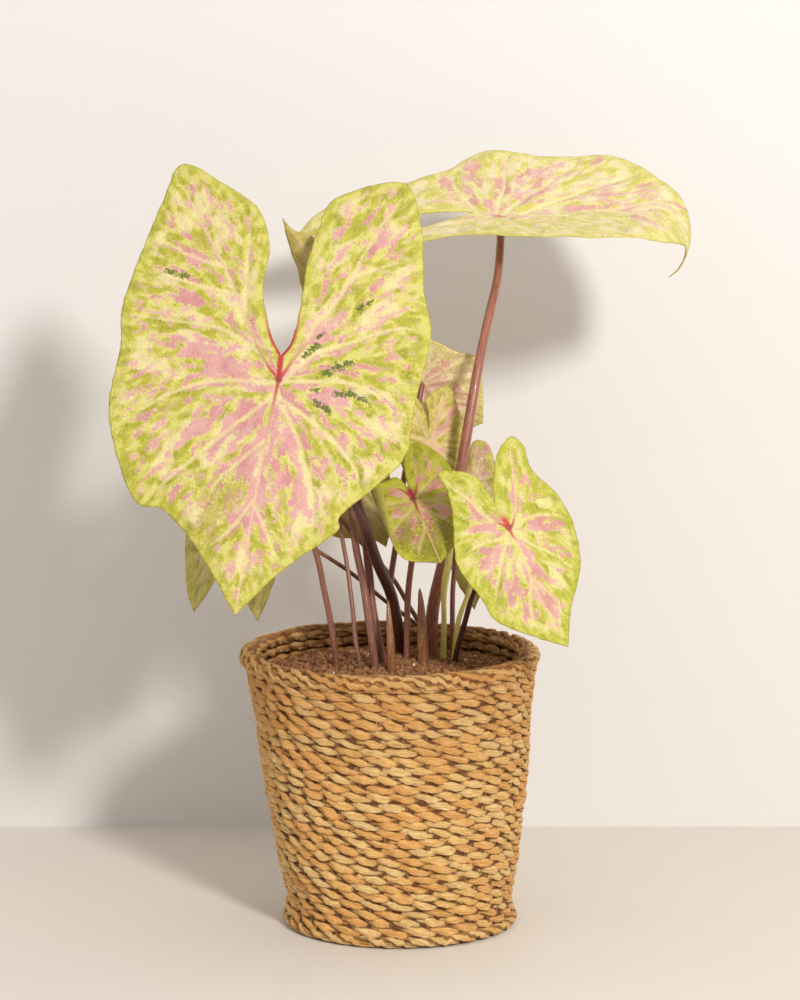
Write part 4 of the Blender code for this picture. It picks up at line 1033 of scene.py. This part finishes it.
def fibres(count, seed):  # loose fibres at the rim and on the wall
    draw = np.random.default_rng(seed)
    points, faces, marks = [], [], []
    for k in range(count):
        angle = draw.uniform(0, math.tau)
        atRim = k < count * 0.6
        z = 145 + draw.uniform(-3, 5) if atRim else draw.uniform(8, 138)
        out = basketForm["rim"] + draw.choice([-4.0, 4.0]) if atRim else wallAt(z) - 0.4
        reach = draw.uniform(3, 8)
        t = np.linspace(0, 1, 6)[:, None]
        way = np.array([draw.uniform(0.2, 1.6), draw.choice([-1, 1]) * reach, draw.uniform(-1, 1.5)])
        line = np.array([out, 0, z]) + t * way
        line = line + t ** 2 * draw.normal(0, 1, 3) * (0.7, 2.0, 1.4)
        turned = np.stack([line[:, 0] * math.cos(angle) - line[:, 1] * math.sin(angle) + leanAt(z),
                           line[:, 0] * math.sin(angle) + line[:, 1] * math.cos(angle), line[:, 2]], 1)
        p, f, m = tube(turned, np.linspace(0.17, 0.06, 6), 4)
        first = sum(len(q) for q in points)
        points.append(p)
        faces += [tuple(first + i for i in face) for face in f]
        # tone at random, with a little of the weave's painted shade
        marks.append(np.stack([m[:, 0] + k, m[:, 2], np.full(len(p), draw.integers(-10, 20) + 0.45)], 1))
    mesh = meshOf("fibres", np.concatenate(points) * mm, faces)
    attach(mesh, "fibre", np.concatenate(marks))
    piece("loose_fibres", mesh, [grass], ())


fibres(150, 4)
print("basket built")

# Soil: its solid stays, under a layer of crumbs and perlite
soilForm = dict(edge=137.0, crown=144.0, lump=1.2, grain=0.110, level=22.0, radius=73.0, fall=2.2)


def soilHeight(x, y):
    share = min(1.0, math.hypot(x - leanAt(soilForm["edge"]), y) / soilForm["radius"])
    height = soilForm["edge"] + (soilForm["crown"] - soilForm["edge"]) * (1 - share ** soilForm["fall"])
    lumps = noise.noise((x * soilForm["grain"], y * soilForm["grain"], soilForm["level"]))
    return height + lumps * soilForm["lump"]


ball = bmesh.new()
bmesh.ops.create_icosphere(ball, subdivisions=1, radius=1.0)
ballPoints = np.array([v.co for v in ball.verts])
ballFaces = np.array([[v.index for v in f.verts] for f in ball.faces])
ball.free()


def crumbs(name, count, sizes, lift, seed, material, within=71.0):  # small lumps strewn over the soil
    draw = np.random.default_rng(seed)
    points, faces = [], []
    stems = [(*s["base"], s["foot"]) for s in [*leafShapes.values(), *sheathShapes.values(), rolledShape]]
    while len(points) < count:
        r, angle = within * math.sqrt(draw.random()), draw.uniform(0, math.tau)
        x, y = leanAt(137) + r * math.cos(angle), r * math.sin(angle)
        size = draw.uniform(*sizes) * draw.uniform(0.5, 1)
        if any(math.hypot(x - a, y - b) < f + size * 0.8 for a, b, f in stems):
            continue
        shape = ballPoints * (1 + draw.uniform(-0.35, 0.35, (len(ballPoints), 1)))
        shape = shape * draw.uniform(0.6, 1.2, 3) * size
        turn = draw.uniform(0, math.tau)
        c, s = math.cos(turn), math.sin(turn)
        shape = shape @ np.array([[c, s, 0], [-s, c, 0], [0, 0, 1]])
        points.append(shape + (x, y, soilHeight(x, y) + lift * size))
        faces.append(ballFaces + len(ballPoints) * (len(points) - 1))
    piece(name, meshOf(name, np.concatenate(points) * mm, np.concatenate(faces)), [material], ())


def earthPaint(name, low, high, rough):
    paint = Paint(name, Specular_IOR_Level=0.25)
    wide = paint.noise(paint.inMillimetres(), 0.22, 4.0, 0.65)
    fine = paint.noise(paint.inMillimetres(), 1.6, 3.0, 0.6)
    colour = paint.mix((wide * 0.5 + fine * 0.5).high(0.52, 0.28), linear(low), linear(high))
    paint.bump(wide + fine * 0.6, 0.7, 0.0008)
    return paint.set(Base_Color=colour, Roughness=rough + 0.1 * fine)


def repaint(name, material):
    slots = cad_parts[name].data.materials
    slots.clear()
    slots.append(material)


soilPaint = earthPaint("soil_mix", (82, 50, 28), (200, 144, 98), 0.85)
perlite = earthPaint("perlite", (222, 212, 196), (246, 240, 228), 0.7)
repaint("soil", soilPaint)
crumbs("soil_crumbs", 4200, (0.9, 2.4), 0.15, 11, soilPaint)
crumbs("perlite_bits", 26, (0.8, 1.6), 0.45, 12, perlite, 66.0)
potPaint = Paint("pot_plastic", Roughness=0.5)
shade = potPaint.noise(potPaint.inMillimetres(), 0.4, 3.0, 0.6)
potTone = potPaint.mix(shade, linear((30, 30, 31)), linear((46, 46, 48)))
repaint("grow_pot", potPaint.set(Base_Color=potTone))
print("soil built")

# Stage: pale floor and wall, soft lights, the camera
stageForm = dict(half=4.0, wall=0.223, front=-3.5, top=3.2)


def plainPaint(name, colour, rough):
    paint = Paint(name, Roughness=rough)
    cloud = paint.noise(paint.place(), 1.4, 2.0, 0.5)
    behind = paint.node("ShaderNodeNewGeometry").outputs["Backfacing"]  # clear when seen from behind
    mixed = paint.node("ShaderNodeMixShader")
    plug(paint.tree, mixed.inputs[0], behind)
    plug(paint.tree, mixed.inputs[1], paint.shader.outputs[0])
    plug(paint.tree, mixed.inputs[2], paint.node("ShaderNodeBsdfTransparent").outputs[0])
    plug(paint.tree, paint.tree.nodes["Material Output"].inputs["Surface"], mixed.outputs[0])
    return paint.set(Base_Color=paint.mix(cloud * 0.06, linear(colour), linear((255, 255, 255))))


w, back, front, top = stageForm["half"], stageForm["wall"], stageForm["front"], stageForm["top"]
floor = [(-w, front, 0), (w, front, 0), (w, back, 0), (-w, back, 0)]
wall = [(-w, back, 0), (w, back, 0), (w, back, top), (-w, back, top)]
for name, corners, colour in (("floor", floor, (226, 218, 207)), ("wall", wall, (222, 218, 214))):
    made = linked(name, meshOf(name, corners, [(0, 1, 2, 3)], False))
    made.data.materials.append(plainPaint(name, colour, 0.6))


def areaLight(name, place, aim, size, power, colour):
    data = bpy.data.lights.new(name, "AREA")
    data.shape = "DISK"
    data.size = size
    data.energy = power
    data.color = colour
    made = linked(name, data)
    made.location = place
    made.rotation_euler = (Vector(aim) - Vector(place)).to_track_quat("-Z", "Y").to_euler()


areaLight("key", (0.92, -2.15, 1.34), (0, 0, 0.2), 0.36, 50, (1.0, 0.985, 0.965))
areaLight("fill", (-1.6, -1.4, 0.7), (0, 0, 0.2), 2.6, 6.0, (1.0, 0.99, 0.985))
areaLight("above", (0.2, -0.8, 1.8), (0, 0, 0.2), 1.6, 4.0, (1.0, 0.99, 0.98))
world = bpy.data.worlds.new("soft")
world.use_nodes = True
world.node_tree.nodes["Background"].inputs["Color"].default_value = (1.0, 0.99, 0.98, 1)
world.node_tree.nodes["Background"].inputs["Strength"].default_value = 0.43
bpy.context.scene.world = world
bpy.context.scene.view_settings.view_transform = "Standard"

lens = bpy.data.cameras.new("camera")
lens.sensor_fit = "VERTICAL"
lens.sensor_height = 36.0
lens.lens = 110.63
lens.clip_end = 50.0
camera = linked("camera", lens)
camera.location = (0, -1.650, 0.438)
camera.rotation_euler = (math.radians(90 - 7.1), 0, 0)
bpy.context.scene.camera = camera
print("stage built")
